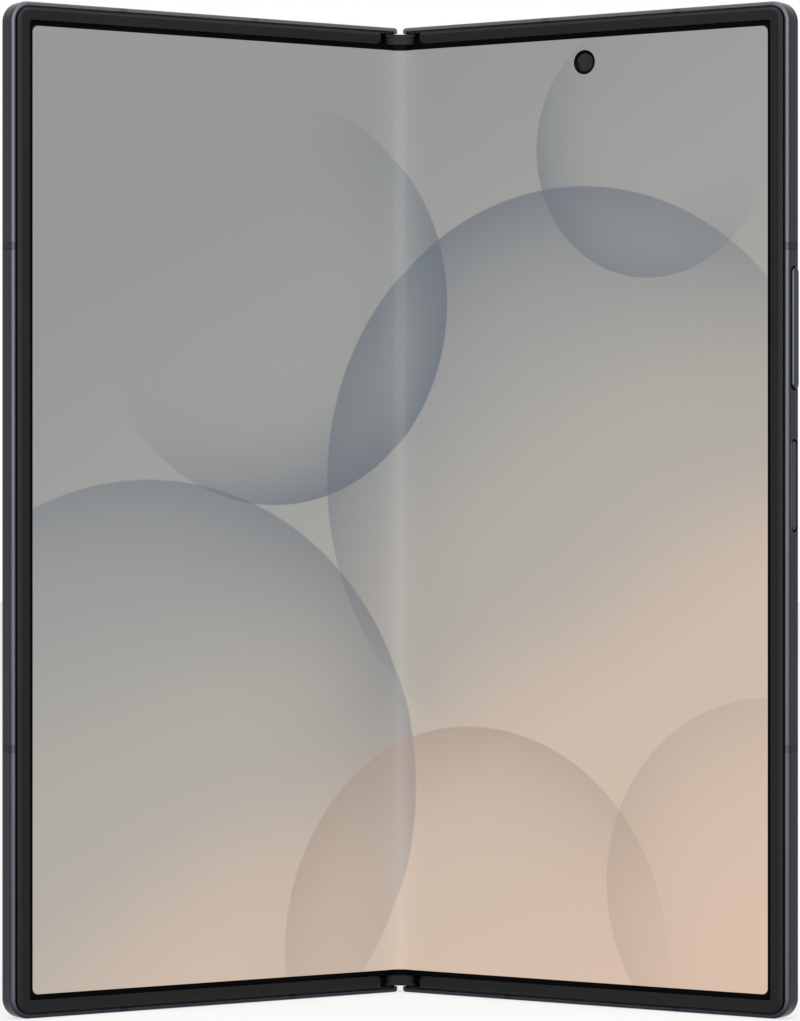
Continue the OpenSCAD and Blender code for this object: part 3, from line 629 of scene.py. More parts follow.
def makeScreenMaterial():
    material, nodes, links, shader = startMaterial("innerScreen")
    chart = nodes.new("ShaderNodeUVMap")
    chart.uv_map = "screenMap"
    spot = vectorNode(nodes, links, "MULTIPLY", chart.outputs["UV"], (100, 100, 0))
    parts = nodes.new("ShaderNodeSeparateXYZ")
    links.new(spot, parts.inputs[0])
    downwards, sideways = wallpaper["slope"]
    down = mathNode(nodes, links, "MULTIPLY_ADD", parts.outputs["Y"], -1 / wallpaper["tall"], 1.0)
    across = mathNode(nodes, links, "MULTIPLY", parts.outputs["X"], sideways)
    diagonal = mathNode(nodes, links, "ADD", mathNode(nodes, links, "MULTIPLY", down, downwards), across)
    scale, amount = wallpaper["waver"]
    waver = mathNode(nodes, links, "MULTIPLY_ADD", noiseNode(nodes, links, spot, scale, 1.0), amount, -amount / 2)
    diagonal = mathNode(nodes, links, "ADD", diagonal, waver)
    ramp = nodes.new("ShaderNodeValToRGB")
    ramp.color_ramp.interpolation = "EASE"
    stops = ramp.color_ramp.elements
    while len(stops) < len(wallpaper["ground"]):
        stops.new(0.5)
    for stop, (at, colour) in zip(stops, wallpaper["ground"]):
        stop.position = at
        stop.color = (*colour, 1)
    links.new(diagonal, ramp.inputs["Fac"])
    colour = ramp.outputs["Color"]
    discShade = makeDiscShade()
    for x, z, radius, direction, darkness, tint in wallpaper["discs"]:
        disc = placeGroup(nodes, discShade, Centre=(x, z, 0), Radius=radius, Direction=(*direction, 0))
        links.new(spot, disc.inputs["Vector"])
        amount = mathNode(nodes, links, "MULTIPLY", disc.outputs["Shade"], darkness, clamp=True)
        colour = mixNode(nodes, links, amount, colour, wallpaper[tint])
    # The lit field is a rounded rectangle; past it the panel is black.
    half = wallpaper["litHalfWidth"] - wallpaper["litCorner"]
    tall = (wallpaper["litHigh"] - wallpaper["litLow"]) / 2 - wallpaper["litCorner"]
    middle = (wallpaper["litHigh"] + wallpaper["litLow"]) / 2
    centred = vectorNode(nodes, links, "SUBTRACT", spot, (0, middle, 0))
    beyond = vectorNode(nodes, links, "SUBTRACT", vectorNode(nodes, links, "ABSOLUTE", centred), (half, tall, 0))
    outside = vectorNode(nodes, links, "LENGTH", vectorNode(nodes, links, "MAXIMUM", beyond, (0, 0, 0)))
    lit = rangeNode(nodes, links, outside, wallpaper["litCorner"] - 0.03, wallpaper["litCorner"] + 0.03, 1.0, 0.0)
    links.new(mixNode(nodes, links, lit, (0, 0, 0), colour), shader.inputs["Emission Color"])
    shader.inputs["Emission Strength"].default_value = wallpaper["strength"]
    touched = placeGroup(nodes, handling, Smear_Scale=25.0)
    panel = mixNode(nodes, links, mathNode(nodes, links, "MULTIPLY", touched.outputs["Dust"], 0.02),
                    (0.002, 0.002, 0.0022), (0.4, 0.4, 0.4))
    # Painted highlight: near the fold the panel's base colour is whitened, standing in for the sheen on the crease.
    fromFold = mathNode(nodes, links, "ABSOLUTE", parts.outputs["X"])
    for reach, amount in wallpaper["paintedCreaseHighlight"]:
        paintedCreaseHighlight = rangeNode(nodes, links, fromFold, 0, reach, amount, 0.0, smooth=True)
        panel = mixNode(nodes, links, paintedCreaseHighlight, panel, (1, 1, 1))
    links.new(panel, shader.inputs["Base Color"])
    links.new(rangeNode(nodes, links, touched.outputs["Smears"], 0, 1, 0.34, 0.40), shader.inputs["Roughness"])
    shader.inputs["Specular IOR Level"].default_value = 0.11
    return material


def makeLensMaterial():  # coated front lens: dark, with a violet to green sheen
    material, nodes, links, shader = startMaterial("coatedLens")
    facing = nodes.new("ShaderNodeLayerWeight")
    facing.inputs["Blend"].default_value = 0.35
    tint = mixNode(nodes, links, facing.outputs["Facing"], (0.007, 0.006, 0.012), (0.004, 0.014, 0.014))
    links.new(tint, shader.inputs["Base Color"])
    touched = placeGroup(nodes, handling)
    links.new(rangeNode(nodes, links, touched.outputs["Smears"], 0, 1, 0.08, 0.14), shader.inputs["Roughness"])
    shader.inputs["Specular IOR Level"].default_value = 0.25
    return material


def makeClearGlass():
    material, nodes, links, shader = startMaterial("clearGlass")
    touched = placeGroup(nodes, handling)
    links.new(rangeNode(nodes, links, touched.outputs["Smears"], 0, 1, 0.0, 0.03), shader.inputs["Roughness"])
    tone = mixNode(nodes, links, touched.outputs["Dust"], (0.95, 0.96, 0.97), (0.85, 0.86, 0.87))
    links.new(tone, shader.inputs["Base Color"])
    shader.inputs["Transmission Weight"].default_value = 1.0
    shader.inputs["IOR"].default_value = 1.45
    return material


screenFinish = makeScreenMaterial()
lensFinish = makeLensMaterial()
glassFinish = makeClearGlass()


# Rings around the open phone
def closedRing(name, inset, y, frontSteps, rearSteps, grow=0.0):
    wide, high = phone["halfWidth"] - inset, phone["height"] - inset + grow
    piece = startBlock(name, (-wide, wide), y, (inset - grow, high))
    with editing(piece):
        roundEdges(lambda at, way: abs(way.y) > 0.99, phone["cornerRadius"] - inset, phone["cornerSteps"])
        for sign, steps in ((-1, frontSteps), (1, rearSteps)):
            chooseFaces(lambda at, way: way.y * sign > 0.99 and abs(at.x) < 1)
            for width, dy in steps:
                if width:
                    insetChosen(width, dy)
                else:
                    extrudeChosen(dy=dy)
        chooseFaces(lambda at, way: abs(way.y) > 0.99 and abs(at.x) < 1 and abs(at.z - midZ) < 1)
        bpy.ops.mesh.bridge_edge_loops()
    return piece


def halfRing(piece, fromX):
    with editing(piece):
        trim((fromX, 0, 0), (1, 0, 0))
    return piece


def railRing(name, fromX):
    piece = closedRing(name, rail["inset"], rail["side"], rail["front"], rail["rear"])
    with editing(piece):
        for depth, radius in rail["rounds"]:
            roundEdges(lambda at, way: abs(way.y) < 0.1 and abs(at.y - depth) < 0.005, radius, 3)
    return halfRing(piece, fromX)


def filletSteps(radius, count):  # widths and rises from the side face round to the front
    turns = [math.pi / 2 * i / count for i in range(count + 1)]
    return [
        (radius * (math.cos(a) - math.cos(b)), radius * (math.sin(a) - math.sin(b))) for a, b in zip(turns, turns[1:])
    ]


rail = {
    "inset": 0.0,
    "fillet": 0.56,
    "polishAndPaintedHighlight": (1.0, 0.92, 0.72, 0.62, 0.55, 0.15, 0.0),  # painted highlight strength, round the fillet from the bezel to the side face
    "paintedShadeAtFoot": (0.25, 4.0),  # painted shade: what is left of the painted highlight at the lower end, and how far up it comes back
    "side": (0.56, 3.10),  # flat outer face, between the front fillet and the rear chamfer
    "front": (*filletSteps(0.56, 6), (0.06, 0), (0, 0.42), (1.48, 0)),
    "rear": ((0.85, 0.85), (0.45, 0), (0, -0.65), (0.80, 0)),
    "rounds": ((3.10, 0.12), (3.95, 0.07)),  # depth of an edge, radius
    "endDepth": 1.0,  # what is left of a rail above the hinge caps
    "endReach": 3.95,
    "endRound": 0.45,
}
bands = {
    "width": 1.15,
    "depth": 1.0,
    "groove": 0.03,
    "sides": (42.1, 120.2),
    "tops": (27.5, 51.7),
    "bottoms": (20.5, 51.7),
}
hingeBar = {
    "outer": 5.4,
    "ledge": (6.2, 3.3),
    "floor": (13.2, 1.7, 2.2),
    "bore": 3.5,
    "plate": (0.62, 1.1),
    "plateInset": 1.9,
    "plateReach": 69.7,
    "ribs": {"left": ((29, 121.6), 2.9), "right": ((39, 105), 3.2)},  # heights, and the depth they reach
    "ribHalf": 0.4,
    "soft": 0.12,
}
recess = {
    "reach": 4.15,  # how far the painted black shade goes from the fold
    "front": 0.3,  # from which depth
    "wall": (0.5, 0.7),  # where the rim's inner wall lies, from either end
}


def bandBlocks(grow):
    width, depth, high = bands["width"] + 2 * grow, bands["depth"] + grow, phone["height"]
    spans = []
    for z in bands["sides"]:
        spans.append(((phone["halfWidth"] - depth, phone["halfWidth"] + 1), (z - width / 2, z + width / 2)))
    for places, z in ((bands["tops"], (high - depth, high + 1)), (bands["bottoms"], (-1, depth))):
        for x in places:
            spans.append(((x - width / 2, x + width / 2), z))
    return [startBlock("bandBlock", x, (-1, phone["depth"] + 1), z) for x, z in spans]


def joined(name, pieces):
    bpy.ops.object.select_all(action="DESELECT")
    for piece in pieces:
        piece.select_set(True)
    bpy.context.view_layer.objects.active = pieces[0]
    bpy.ops.object.join()
    pieces[0].name = pieces[0].data.name = name
    return pieces[0]


def pill(name, centre, long, wide, along, thick):
    # a slot-shaped prism: long and wide are its outline, along is the axis of the long side, thick runs on the third
    size = {"Z": (thick, wide, long), "X": (long, wide, thick)}[along]
    through = "XZ".replace(along, "")
    piece = startBlock(name, *[(c - s / 2, c + s / 2) for c, s in zip(centre, size)])
    index = "XYZ".index(through)
    with editing(piece):
        roundEdges(lambda at, way: abs(way[index]) > 0.99, wide * 0.4995, 10)
        bpy.ops.mesh.select_all(action="SELECT")
        bpy.ops.mesh.remove_doubles(threshold=0.01)
    return piece


bores = {
    "y": 1.85,
    "pitch": 1.75,
    "long": 3.6,
    "sides": 24,
    "sound": 0.55,  # radius of a sound hole
    "small": 0.35,  # and of a microphone or pin hole
    "pinOffset": 9.4,  # from the middle of the card slot to its pin hole
}


def boreRow(x0, count, low, radius=bores["sound"]):
    z = 1.0 if low else phone["height"] - 1.0
    return [
        startRod("bore", (x0 + i * bores["pitch"], bores["y"], z), radius, bores["long"], "Z", bores["sides"])
        for i in range(count)
    ]


keys = {
    "y": 1.85,
    "width": 1.8,
    "gap": 0.12,
    "endGap": 0.08,
    "inner": 69.95,
    "flange": 0.4,
    "flangeY": (0.95, 2.75),
    "flangeReach": 0.7,  # past each end of a key
    "roomY": (0.75, 2.95),
    "mouthChamfer": 0.3,
    "soft": 0.28,
    "rocker": {"z": 107.5, "long": 19.0, "out": 72.0},
    "power": {"z": 83.0, "long": 14.1, "out": 71.58},
}
usb = {"x": 36.0, "y": 1.87, "wide": 8.34, "open": 2.46, "wall": 0.18, "deep": 7.2, "lip": 0.4, "soft": 0.05}
cardSlot = {"x": 19.9, "y": 1.9, "wide": 12.6, "thick": 1.9, "gap": 0.12}
eye = {
    "x": 34.9,
    "z": 150.8,
    "radius": 1.91,
    "gap": 0.04,  # round the eye in the screen
    "frameRoom": 0.9,
    "body": (1.7, 2.9),
    "bodyWall": 0.85,
    "wall": ((0.14, 0.0), (0.26, 0.16), (0.08, 0.06), (0.30, -0.06), (0.30, -0.035), (0.27, -0.02), (0.2, -0.006)),
}


def keyPocket(key):
    gap = keys["gap"]
    long, wide = key["long"] + 2 * (gap + keys["endGap"]), keys["width"] + 2 * gap
    hole = pill("keyHole", (71.0, keys["y"], key["z"]), long, wide, "Z", 2.6)
    mouth = pill("keyMouth", (71.6, keys["y"], key["z"]), long - 0.1, wide - 0.1, "Z", 0.4)
    chamfer = keys["mouthChamfer"]
    with editing(mouth):
        chooseFaces(lambda at, way: way.x > 0.99)
        bpy.ops.transform.resize(value=(1, (wide + chamfer) / wide, (long + chamfer) / long))
    room = startBlock("keyRoom", (69.2, keys["inner"] + keys["flange"] - 0.05), keys["roomY"],
                      (key["z"] - key["long"] / 2 - 1, key["z"] + key["long"] / 2 + 1))
    return [hole, mouth, room]


def makeRails(side):
    gap, high, deep = phone["railGap"], phone["height"], phone["depth"]
    piece = railRing(side + "Rails", gap - 0.2)
    ledgeY, rimWide = phone["ledge"]
    low, up = rail["fillet"] + 0.02, rail["endDepth"] + 0.1
    for z in ((low, up), (high - up, high - low)):  # the rim turns down the end of the rail
        weld(piece, startBlock("endRim", (gap - 0.1, gap + rimWide), (0.002, ledgeY + 0.1), z))
    halfRing(piece, gap)
    room = (rail["endDepth"], high - rail["endDepth"])
    carve(piece, startBlock("endRoom", (-1, rail["endReach"]), (-1, deep + 1), room))
    corner = rail["endRound"]
    for z, sign in ((0, 1), (high, -1)):
        chip = startBlock("chip", (0, gap + corner), (-1, deep + 1), sorted((z - sign, z + sign * corner)))
        core = startRod("core", (gap + corner, 2, z + sign * corner), corner, 9, "Y")
        carve(chip, core)
        carve(piece, chip)
    return piece


def makeHingeBar(side):
    high = phone["height"] - rail["endDepth"]
    z = (rail["endDepth"], high)
    gap, deep = phone["railGap"], phone["depth"]
    ledgeX, ledgeY = hingeBar["ledge"]
    floorX, floorY0, floorY1 = hingeBar["floor"]
    plateY = hingeBar["plate"]
    bar = startBlock(side + "HingeBar", (gap, hingeBar["outer"]), (floorY0, deep), z)
    with editing(bar):
        roundEdges(lambda at, way: abs(way.z) > 0.99 and at.y > deep - 0.01, hingeBar["soft"], 3)
    weld(
        bar,
        startBlock("ledge", (hingeBar["outer"] - 1, ledgeX), (floorY0, ledgeY), z),
        startBlock("floor", (hingeBar["outer"] - 1, floorX), (floorY0, floorY1), z),
        startBlock("step", (floorX - 1, floorX), (plateY[0], floorY1), z),
    )
    carve(bar, startRod("bore", (axisX, 0, midZ), hingeBar["bore"], high + 9, "Z", 96),
          startBlock("boreSide", (-1, axisX), (0, hingeBar["bore"]), (-9, high + 9)))
    inset, reach = hingeBar["plateInset"], hingeBar["plateReach"]
    weld(bar, startBlock("plate", (floorX - 0.5, reach), plateY, (inset, phone["height"] - inset)))
    heights, top = hingeBar["ribs"][side]
    half = hingeBar["ribHalf"]
    for at in heights:
        weld(bar, startBlock("rib", (floorX, reach), (plateY[1] - 0.1, top), (at - half, at + half)))
    return bar


def makeFrame(side):
    piece = makeRails(side)
    weld(piece, makeHingeBar(side))
    piece.name = piece.data.name = side + "FrameMetal"
    high = phone["height"]
    if side == "left":
        slotLong = cardSlot["wide"] + 2 * cardSlot["gap"]
        slotWide = cardSlot["thick"] + 2 * cardSlot["gap"]
        cutters = [pill("cardHole", (cardSlot["x"], cardSlot["y"], high - 1), slotLong, slotWide, "X", 4)]
        cutters += boreRow(43, 5, False) + boreRow(40, 6, True) + boreRow(26, 1, True, bores["small"])
        cutters += boreRow(cardSlot["x"] + bores["pinOffset"], 1, False, bores["small"])
    else:
        socket = (usb["wide"] + 2 * usb["wall"], usb["open"] + 2 * usb["wall"])
        cutters = [pill("socketHole", (usb["x"], usb["y"], usb["deep"] / 2 - 0.5), *socket, "X", usb["deep"] + 1)]
        cutters += boreRow(44, 4, True) + boreRow(26, 1, True, bores["small"]) + boreRow(36, 1, False, bores["small"])
        cutters += [startDisc("eyeHole", eye["x"], eye["z"], eye["radius"] + eye["frameRoom"], (-1, 2.1))]
        cutters += keyPocket(keys["rocker"]) + keyPocket(keys["power"])
    carve(piece, *cutters, *bandBlocks(bands["groove"]))
    return piece


def paintPolishHighlight(piece, front=0.0, radius=rail["fillet"]):  # painted highlight: the front fillet gets a brighter polished colour, strongest beside the rim and fading to none on the side face, dimmed towards the lower end as painted shade
    layer = piece.data.attributes.new("polishAndPaintedHighlight", "FLOAT", "POINT")
    rows = rail["polishAndPaintedHighlight"]
    least, reach = rail["paintedShadeAtFoot"]
    for vertex, value in zip(piece.data.vertices, layer.data):
        rise = min(1.0, max(0.0, (vertex.co.y - front) / radius))
        row = math.acos(1 - rise) / (math.pi / 2) * (len(rows) - 1)
        low = min(int(row), len(rows) - 2)
        polishAndPaintedHighlight = rows[low] + (rows[low + 1] - rows[low]) * (row - low)
        value.value = polishAndPaintedHighlight * (least + (1 - least) * smoothStep(vertex.co.z / reach))


def paintRecessShade(piece, index):  # painted shade: the hinge recess and the rim's inner wall take a black finish, partly the dark finish found there and partly the shade that falls there
    deep = phone["ledge"][0]
    for face in piece.data.polygons:
        at, n = face.center, face.normal
        fromEnd = min(at.z, phone["height"] - at.z)
        inRecess = abs(at.x) < recess["reach"] and at.y > recess["front"] and n.y < 0.5 and fromEnd > 0.1
        onWall = 0.05 < at.y < deep + 0.01 and abs(n.y) < 0.3 and recess["wall"][0] < fromEnd < recess["wall"][1]
        if inRecess or onWall:
            face.material_index = index


for side in ("left", "right"):
    frameMetal = mirrorFor(makeFrame(side), side)
    shade(frameMetal)
    frameMetal.data.materials.clear()
    for finish in ("railMetal", "recessBlackAndShade"):
        frameMetal.data.materials.append(finishes[finish])
    # painted highlight on the front fillet
    paintPolishHighlight(frameMetal)
    # painted shade in the hinge recess and on the rim's inner wall
    paintRecessShade(frameMetal, 1)
    place(frameMetal, side)
    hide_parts(side + "_frame")
    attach(frameMetal, side + "_half")
    print("frame:", side, len(frameMetal.data.polygons), "faces")

    ring = railRing(side + "AntennaBands", 5)
    keepInside(ring, joined("bandShapes", bandBlocks(0)))
    shade(mirrorFor(ring, side))
    # painted highlight on the band's front fillet
    paintPolishHighlight(ring)
    place(ring, side)
    dress(ring, side + "_half", "antenna_plastic", [side + "_antenna_bands"], finishes["antennaPlastic"])
    print("antenna bands:", side, len(ring.data.polygons), "faces")


# Bezels
bezel = {
    "outer": 1.08,
    "foot": (0.1, 0.4),
    "front": ((0.55, -0.35), (1.57, 0), (0, 0.23)),
    "rear": ((1.67, 0), (0, -0.42)),
    "grow": 0.25,  # how much nearer the ends the short arms lie
    "inner": 3.2,
    "shift": 0.05,
    "innerCorner": 0.42,
    "end": 3.8,
    "endRound": 1.0,
    "soft": 0.09,
}


def makeBezel(side):
    grow, shift = bezel["grow"], bezel["shift"]
    piece = closedRing(side + "Bezel", bezel["outer"], bezel["foot"], bezel["front"], bezel["rear"], grow)
    reach, inner = phone["halfWidth"] - bezel["inner"], bezel["inner"] - grow
    with editing(piece):
        for x in (-reach, reach):  # the inset leaves a cluster of vertices in each inner corner
            for z in (inner, phone["height"] - inner):
                chooseEdges(lambda at, way: at.y < 0 and max(abs(at.x - x), abs(at.z - z)) < 0.08)
                bpy.ops.transform.resize(value=(0, 1, 0), center_override=(x, 0, z))
        bpy.ops.mesh.select_all(action="SELECT")
        bpy.ops.mesh.remove_doubles(threshold=0.002)
        top = phone["height"] - inner
        walls = ((0, reach, shift, 0), (0, -reach, -shift, 0), (2, inner, 0, -shift), (2, top, 0, shift))
        for axis, wall, dx, dz in walls:
            chooseFaces(lambda at, way: abs(way[axis]) > 0.99 and abs(at[axis] - wall) < 0.01 and at.y < 0)
            moveChosen(dx=dx, dz=dz)
        inner -= shift
        roundEdges(
            lambda at, way: abs(way.y) > 0.99 and abs(abs(at.x) - reach - shift) < 0.01 and at.y < 0
            and min(abs(at.z - inner), abs(at.z - phone["height"] + inner)) < 0.01,
            bezel["innerCorner"], 6,
        )
    halfRing(piece, bezel["end"])
    with editing(piece):
        roundEdges(
            lambda at, way: abs(way.y) > 0.9 and at.x < bezel["end"] + 0.01
            and min(abs(at.z - inner), abs(at.z - phone["height"] + inner)) < 0.01,
            bezel["endRound"], 8,
        )
    mirrorFor(piece, side)
    soften(piece, bezel["soft"], 3, 24)
    place(piece, side)
    return dress(piece, side + "_half", "bezel_plastic", [side + "_bezel"], finishes["bezelPlastic"])


makeBoth("bezel", makeBezel)


# Inner screen, in two pieces that meet on the fold line
panel = {
    "inset": 2.85,
    "thick": 0.4,
    "corner": 0.7,
    "edge": 0.06,
    "foldReach": 2.4,
    "foldSteps": 20,
}
foldRow = axisX + (panel["foldReach"] - axisX) * math.cos(halfTilt)


def foldTurn(x):  # how far a point of the flat screen is turned, from its distance to the fold line
    turn = halfTilt
    for _ in range(30):  # settles well within this
        turn = halfTilt * smoothStep((axisX + (x - axisX) * math.cos(turn)) / foldRow)
    return turn


litEdges = (
    ((wallpaper["litHalfWidth"], 0, 0), (1, 0, 0)),
    ((0, 0, wallpaper["litLow"]), (0, 0, 1)),
    ((0, 0, wallpaper["litHigh"]), (0, 0, 1)),
)


def pastLit(x, z):
    return x > wallpaper["litHalfWidth"] or not wallpaper["litLow"] < z < wallpaper["litHigh"]


def makePanel(side):
    inset, thick = panel["inset"], panel["thick"]
    edge = phone["halfWidth"] - inset
    piece = startBlock(side + "InnerScreen", (0, edge), (0, thick), (inset, phone["height"] - inset))
    with editing(piece):
        roundEdges(lambda at, way: abs(way.y) > 0.99 and at.x > 1, panel["corner"], 8)
        roundEdges(lambda at, way: at.y < 0.01 and abs(way.y) < 0.1 and at.x > 0.01, panel["edge"], 2)
        for i in range(1, panel["foldSteps"] + 1):
            bpy.ops.mesh.select_all(action="SELECT")
            bpy.ops.mesh.bisect(plane_co=(panel["foldReach"] * i / panel["foldSteps"], 0, 0), plane_no=(1, 0, 0))
        for at, way in litEdges:
            bpy.ops.mesh.select_all(action="SELECT")
            bpy.ops.mesh.bisect(plane_co=at, plane_no=way)
    if side == "right":
        carve(piece, startDisc("eyeHole", eye["x"], eye["z"], eye["radius"] + eye["gap"], (-1, 2), 72))
    mirrorFor(piece, side)
    chart = piece.data.uv_layers[0] if piece.data.uv_layers else piece.data.uv_layers.new()
    chart.name = "screenMap"
    for loop in piece.data.loops:
        at = piece.data.vertices[loop.vertex_index].co
        chart.data[loop.index].uv = (at.x / 100, at.z / 100)
    unlit = [pastLit(abs(face.center.x), face.center.z) or face.center.y > 0.1 for face in piece.data.polygons]
    sign = -1 if side == "left" else 1
    for vertex in piece.data.vertices:
        x, y = abs(vertex.co.x), vertex.co.y
        turn = foldTurn(x) if x < panel["foldReach"] else halfTilt
        vertex.co.x = sign * (axisX + (x - axisX) * math.cos(turn) + y * math.sin(turn))
        vertex.co.y = y * math.cos(turn) - (x - axisX) * math.sin(turn)
        if x < 1e-6:
            vertex.co.x = 0
    piece.data.update()
    shade(piece, 40)
    place(piece, "spine")
    nodes = [side + "_screen_panel"] + (["screen_fold"] if side == "right" else [])
    dress(piece, None, "screen", nodes, screenFinish, finishes["screenBorder"])
    for face, dark in zip(piece.data.polygons, unlit):
        face.material_index = 1 if dark else 0
    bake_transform(piece)
    return piece


makeBoth("inner screen", makePanel)


# Flex cable under the fold, in two pieces that meet on the fold line
cable = {
    "z": (72, 86),
    "thick": 0.1,
    "dip": ((0, 2.55), (0.9, 2.5), (1.8, 2.1), (2.6, 1.3)),  # through the spine
    "floor": ((3.7, 1.35), (5, 1.5), (11.6, 1.5)),  # along the floor of a half, before the half is turned
    "steps": 48,
    "follow": (5.0, 1.0),  # two distances from the fold line, in millimetres
}


def makeFlexCable(side):
    cosine, sine = math.cos(halfTilt), math.sin(halfTilt)
    path = list(cable["dip"])
    path += [(axisX + (x - axisX) * cosine + y * sine, y * cosine - (x - axisX) * sine) for x, y in cable["floor"]]
    reach = path[-1][0]
    piece = startBlock(side + "FlexCable", (0, reach), (0, cable["thick"]), cable["z"])
    with editing(piece):
        for i in range(1, cable["steps"]):
            bpy.ops.mesh.select_all(action="SELECT")
            bpy.ops.mesh.bisect(plane_co=(reach * i / cable["steps"], 0, 0), plane_no=(1, 0, 0))
    mirrorFor(piece, side)
    for vertex in piece.data.vertices:
        x = min(abs(vertex.co.x), reach)
        (x0, y0), (x1, y1) = next(run for run in zip(path, path[1:]) if x <= run[1][0])
        vertex.co.y += y0 + (y1 - y0) * (x - x0) / (x1 - x0)
    piece.data.update()
    shade(piece, 40)
    place(piece, "spine")
    dress(piece, None, "copper", ["hinge_flex_cable"], finishes["copperFilm"])
    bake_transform(piece)
    return piece


makeBoth("flex cable", makeFlexCable)


# Camera eye in the inner screen, and the like one under the outer glass
def makeEye(name, look, y, sign):
    # sign is the way the eye looks along Y; wall lists (inset, step inwards) down to the lens
    x, z, radius, wall = look["x"], look["z"], look["radius"], look["wall"]
    piece = startDisc(name, x, z, radius, y, 72)
    with editing(piece):
        chooseFaces(lambda at, way: way.y * sign > 0.99)
        for width, step in wall:
            insetChosen(width, -sign * step)
    tint(piece, 0, finishes["eyeGloss"], lensFinish)
    rim = radius - sum(width for width, _ in wall[:3]) + 0.02
    for face in piece.data.polygons:
        away = math.hypot(face.center.x - x, face.center.z - z)
        face.material_index = 1 if away < rim and face.normal.y * sign > 0.2 else 0
    return piece


innerEye = makeEye("innerCameraEye", eye, (0.03, eye["body"][0]), -1)
body = startDisc("eyeBody", eye["x"], eye["z"], eye["radius"] + eye["bodyWall"], eye["body"])
tint(body, 0, finishes["eyeGloss"])
innerEye = joined("innerCameraEye", [innerEye, body])
shade(innerEye, 30)
place(innerEye, "right")
dress(innerEye, "right_half", "black_parts", ["inner_camera"], finishes["eyeGloss"], lensFinish)
print("inner camera:", len(innerEye.data.polygons), "faces")


# Hinge caps and spine
spine = {
    "radius": 3.35,
    "wall": 0.35,
    "top": 1.75,
    "z": (1.1, 157.3),
    "soft": 0.06,
    "capWide": 5.26,
    "capBack": 2.15,
    "capLow": 155.6,
    "capSoft": 0.05,
    "faceWide": 4.7,
    "faceBend": 7.0,
    "faceRound": 0.45,
    "stripHigh": 0.36,
    "stripRound": 0.3,
    "fillRadius": 2.98,
}


def stadium(name, radius, z, top):  # half-round trough section about both fold axes
    piece = startRod(name, (0, 0, (z[0] + z[1]) / 2), radius, z[1] - z[0], "Z", 98)
    with editing(piece):
        for sign in (-1, 1):
            bpy.ops.mesh.select_mode(type="VERT")
            bpy.ops.mesh.select_all(action="DESELECT")
            mesh = bmesh.from_edit_mesh(piece.data)
            for vertex in mesh.verts:
                vertex.select = vertex.co.x * sign > 0.001 and abs(vertex.co.x) < radius + axisX
            mesh.select_flush_mode()
            bmesh.update_edit_mesh(piece.data)
            moveChosen(dx=sign * axisX)
        trim((0, top, 0), (0, 1, 0))
    return piece


def makeSpineCover():
    low, high = spine["z"]
    piece = stadium("spineCover", spine["radius"], (low, high), spine["top"])
    carve(piece, stadium("spineHollow", spine["radius"] - spine["wall"], (low - 1, high + 1), -9))
    soften(piece, spine["soft"])
    dress(piece, "spine", "rail_metal", ["hinge_cover"], finishes["spineMetal"], finishes["recessBlackAndShade"])
    for face in piece.data.polygons:  # painted shade: black inside and along the rim, where shade falls
        inward = face.normal.x * face.center.x + face.normal.y * face.center.y < 0
        face.material_index = 1 if inward or face.normal.y < -0.5 else 0
    return place(piece, "spine")


def makeHingeCap(name, node, upper):
    low, high, back = spine["capLow"], spine["z"][1], spine["capBack"]
    strip = high - spine["stripHigh"]
    bend = spine["faceBend"]
    face = startRod(name, (0, bend - 0.1, (low + strip + 0.1) / 2), bend, strip + 0.1 - low, "Z", 144)
    half = spine["faceWide"] / 2
    mask = startBlock("capMask", (-half, half), (-1, back), (low, strip + 0.2))
    with editing(mask):
        roundEdges(lambda at, way: abs(way.y) > 0.99 and at.z < low + 0.01, spine["faceRound"], 6)
    keepInside(face, mask)
    lip = startBlock("capStrip", (-spine["capWide"] / 2, spine["capWide"] / 2), (-0.06, back), (strip, high))
    with editing(lip):
        roundEdges(lambda at, way: abs(way.z) > 0.99 and at.y < 0.1, spine["stripRound"], 6)
    weld(face, lip, stadium("capFill", spine["fillRadius"], (low, high), spine["top"]))
    soften(face, spine["capSoft"], 2, 40)
    if not upper:
        onlySelect(face)
        face.matrix_world = Matrix.Translation((0, 0, phone["height"])) @ Matrix.Scale(-1, 4, (0, 0, 1))
        settle()
        shade(faceOut(face))
    dress(face, "spine", "bezel_plastic", [node], finishes["capPlastic"], finishes["recessBlackAndShade"])
    # painted shade: the cap's faces deeper than 1 mm take the black recess finish
    for side in face.data.polygons:
        side.material_index = 1 if side.center.y > 1.0 else 0
    return place(face, "spine")


made = makeSpineCover()
print("spine:", len(made.data.polygons), "faces")
for name, node, upper in (("upperHingeCap", "upper_hinge_cap", True), ("lowerHingeCap", "lower_hinge_cap", False)):
    made = makeHingeCap(name, node, upper)
    print("hinge cap:", name, len(made.data.polygons), "faces")


# Keys
def makeKey(name, node, key, body):
    x0 = keys["inner"] - 0.1
    piece = pill(name, ((x0 + key["out"]) / 2, keys["y"], key["z"]), key["long"], keys["width"], "Z", key["out"] - x0)
    soften(piece, keys["soft"], 4, 50)
    foot, head = key["z"] - key["long"] / 2, key["z"] + key["long"] / 2
    weld(piece, startBlock("flange", (keys["inner"] - keys["flange"], keys["inner"]), keys["flangeY"],
                           (foot - keys["flangeReach"], head + keys["flangeReach"])))
    shade(piece)
    # painted highlight on the key's front fillet
    paintPolishHighlight(piece, keys["y"] - keys["width"] / 2, keys["soft"])
    place(piece, "right")
    return dress(piece, body, "rail_metal", [node], finishes["keyMetal"])


makeKey("volumeRocker", "volume_rocker", keys["rocker"], "volume_key")
makeKey("powerKey", "power_key", keys["power"], "power_button")
print("keys done")


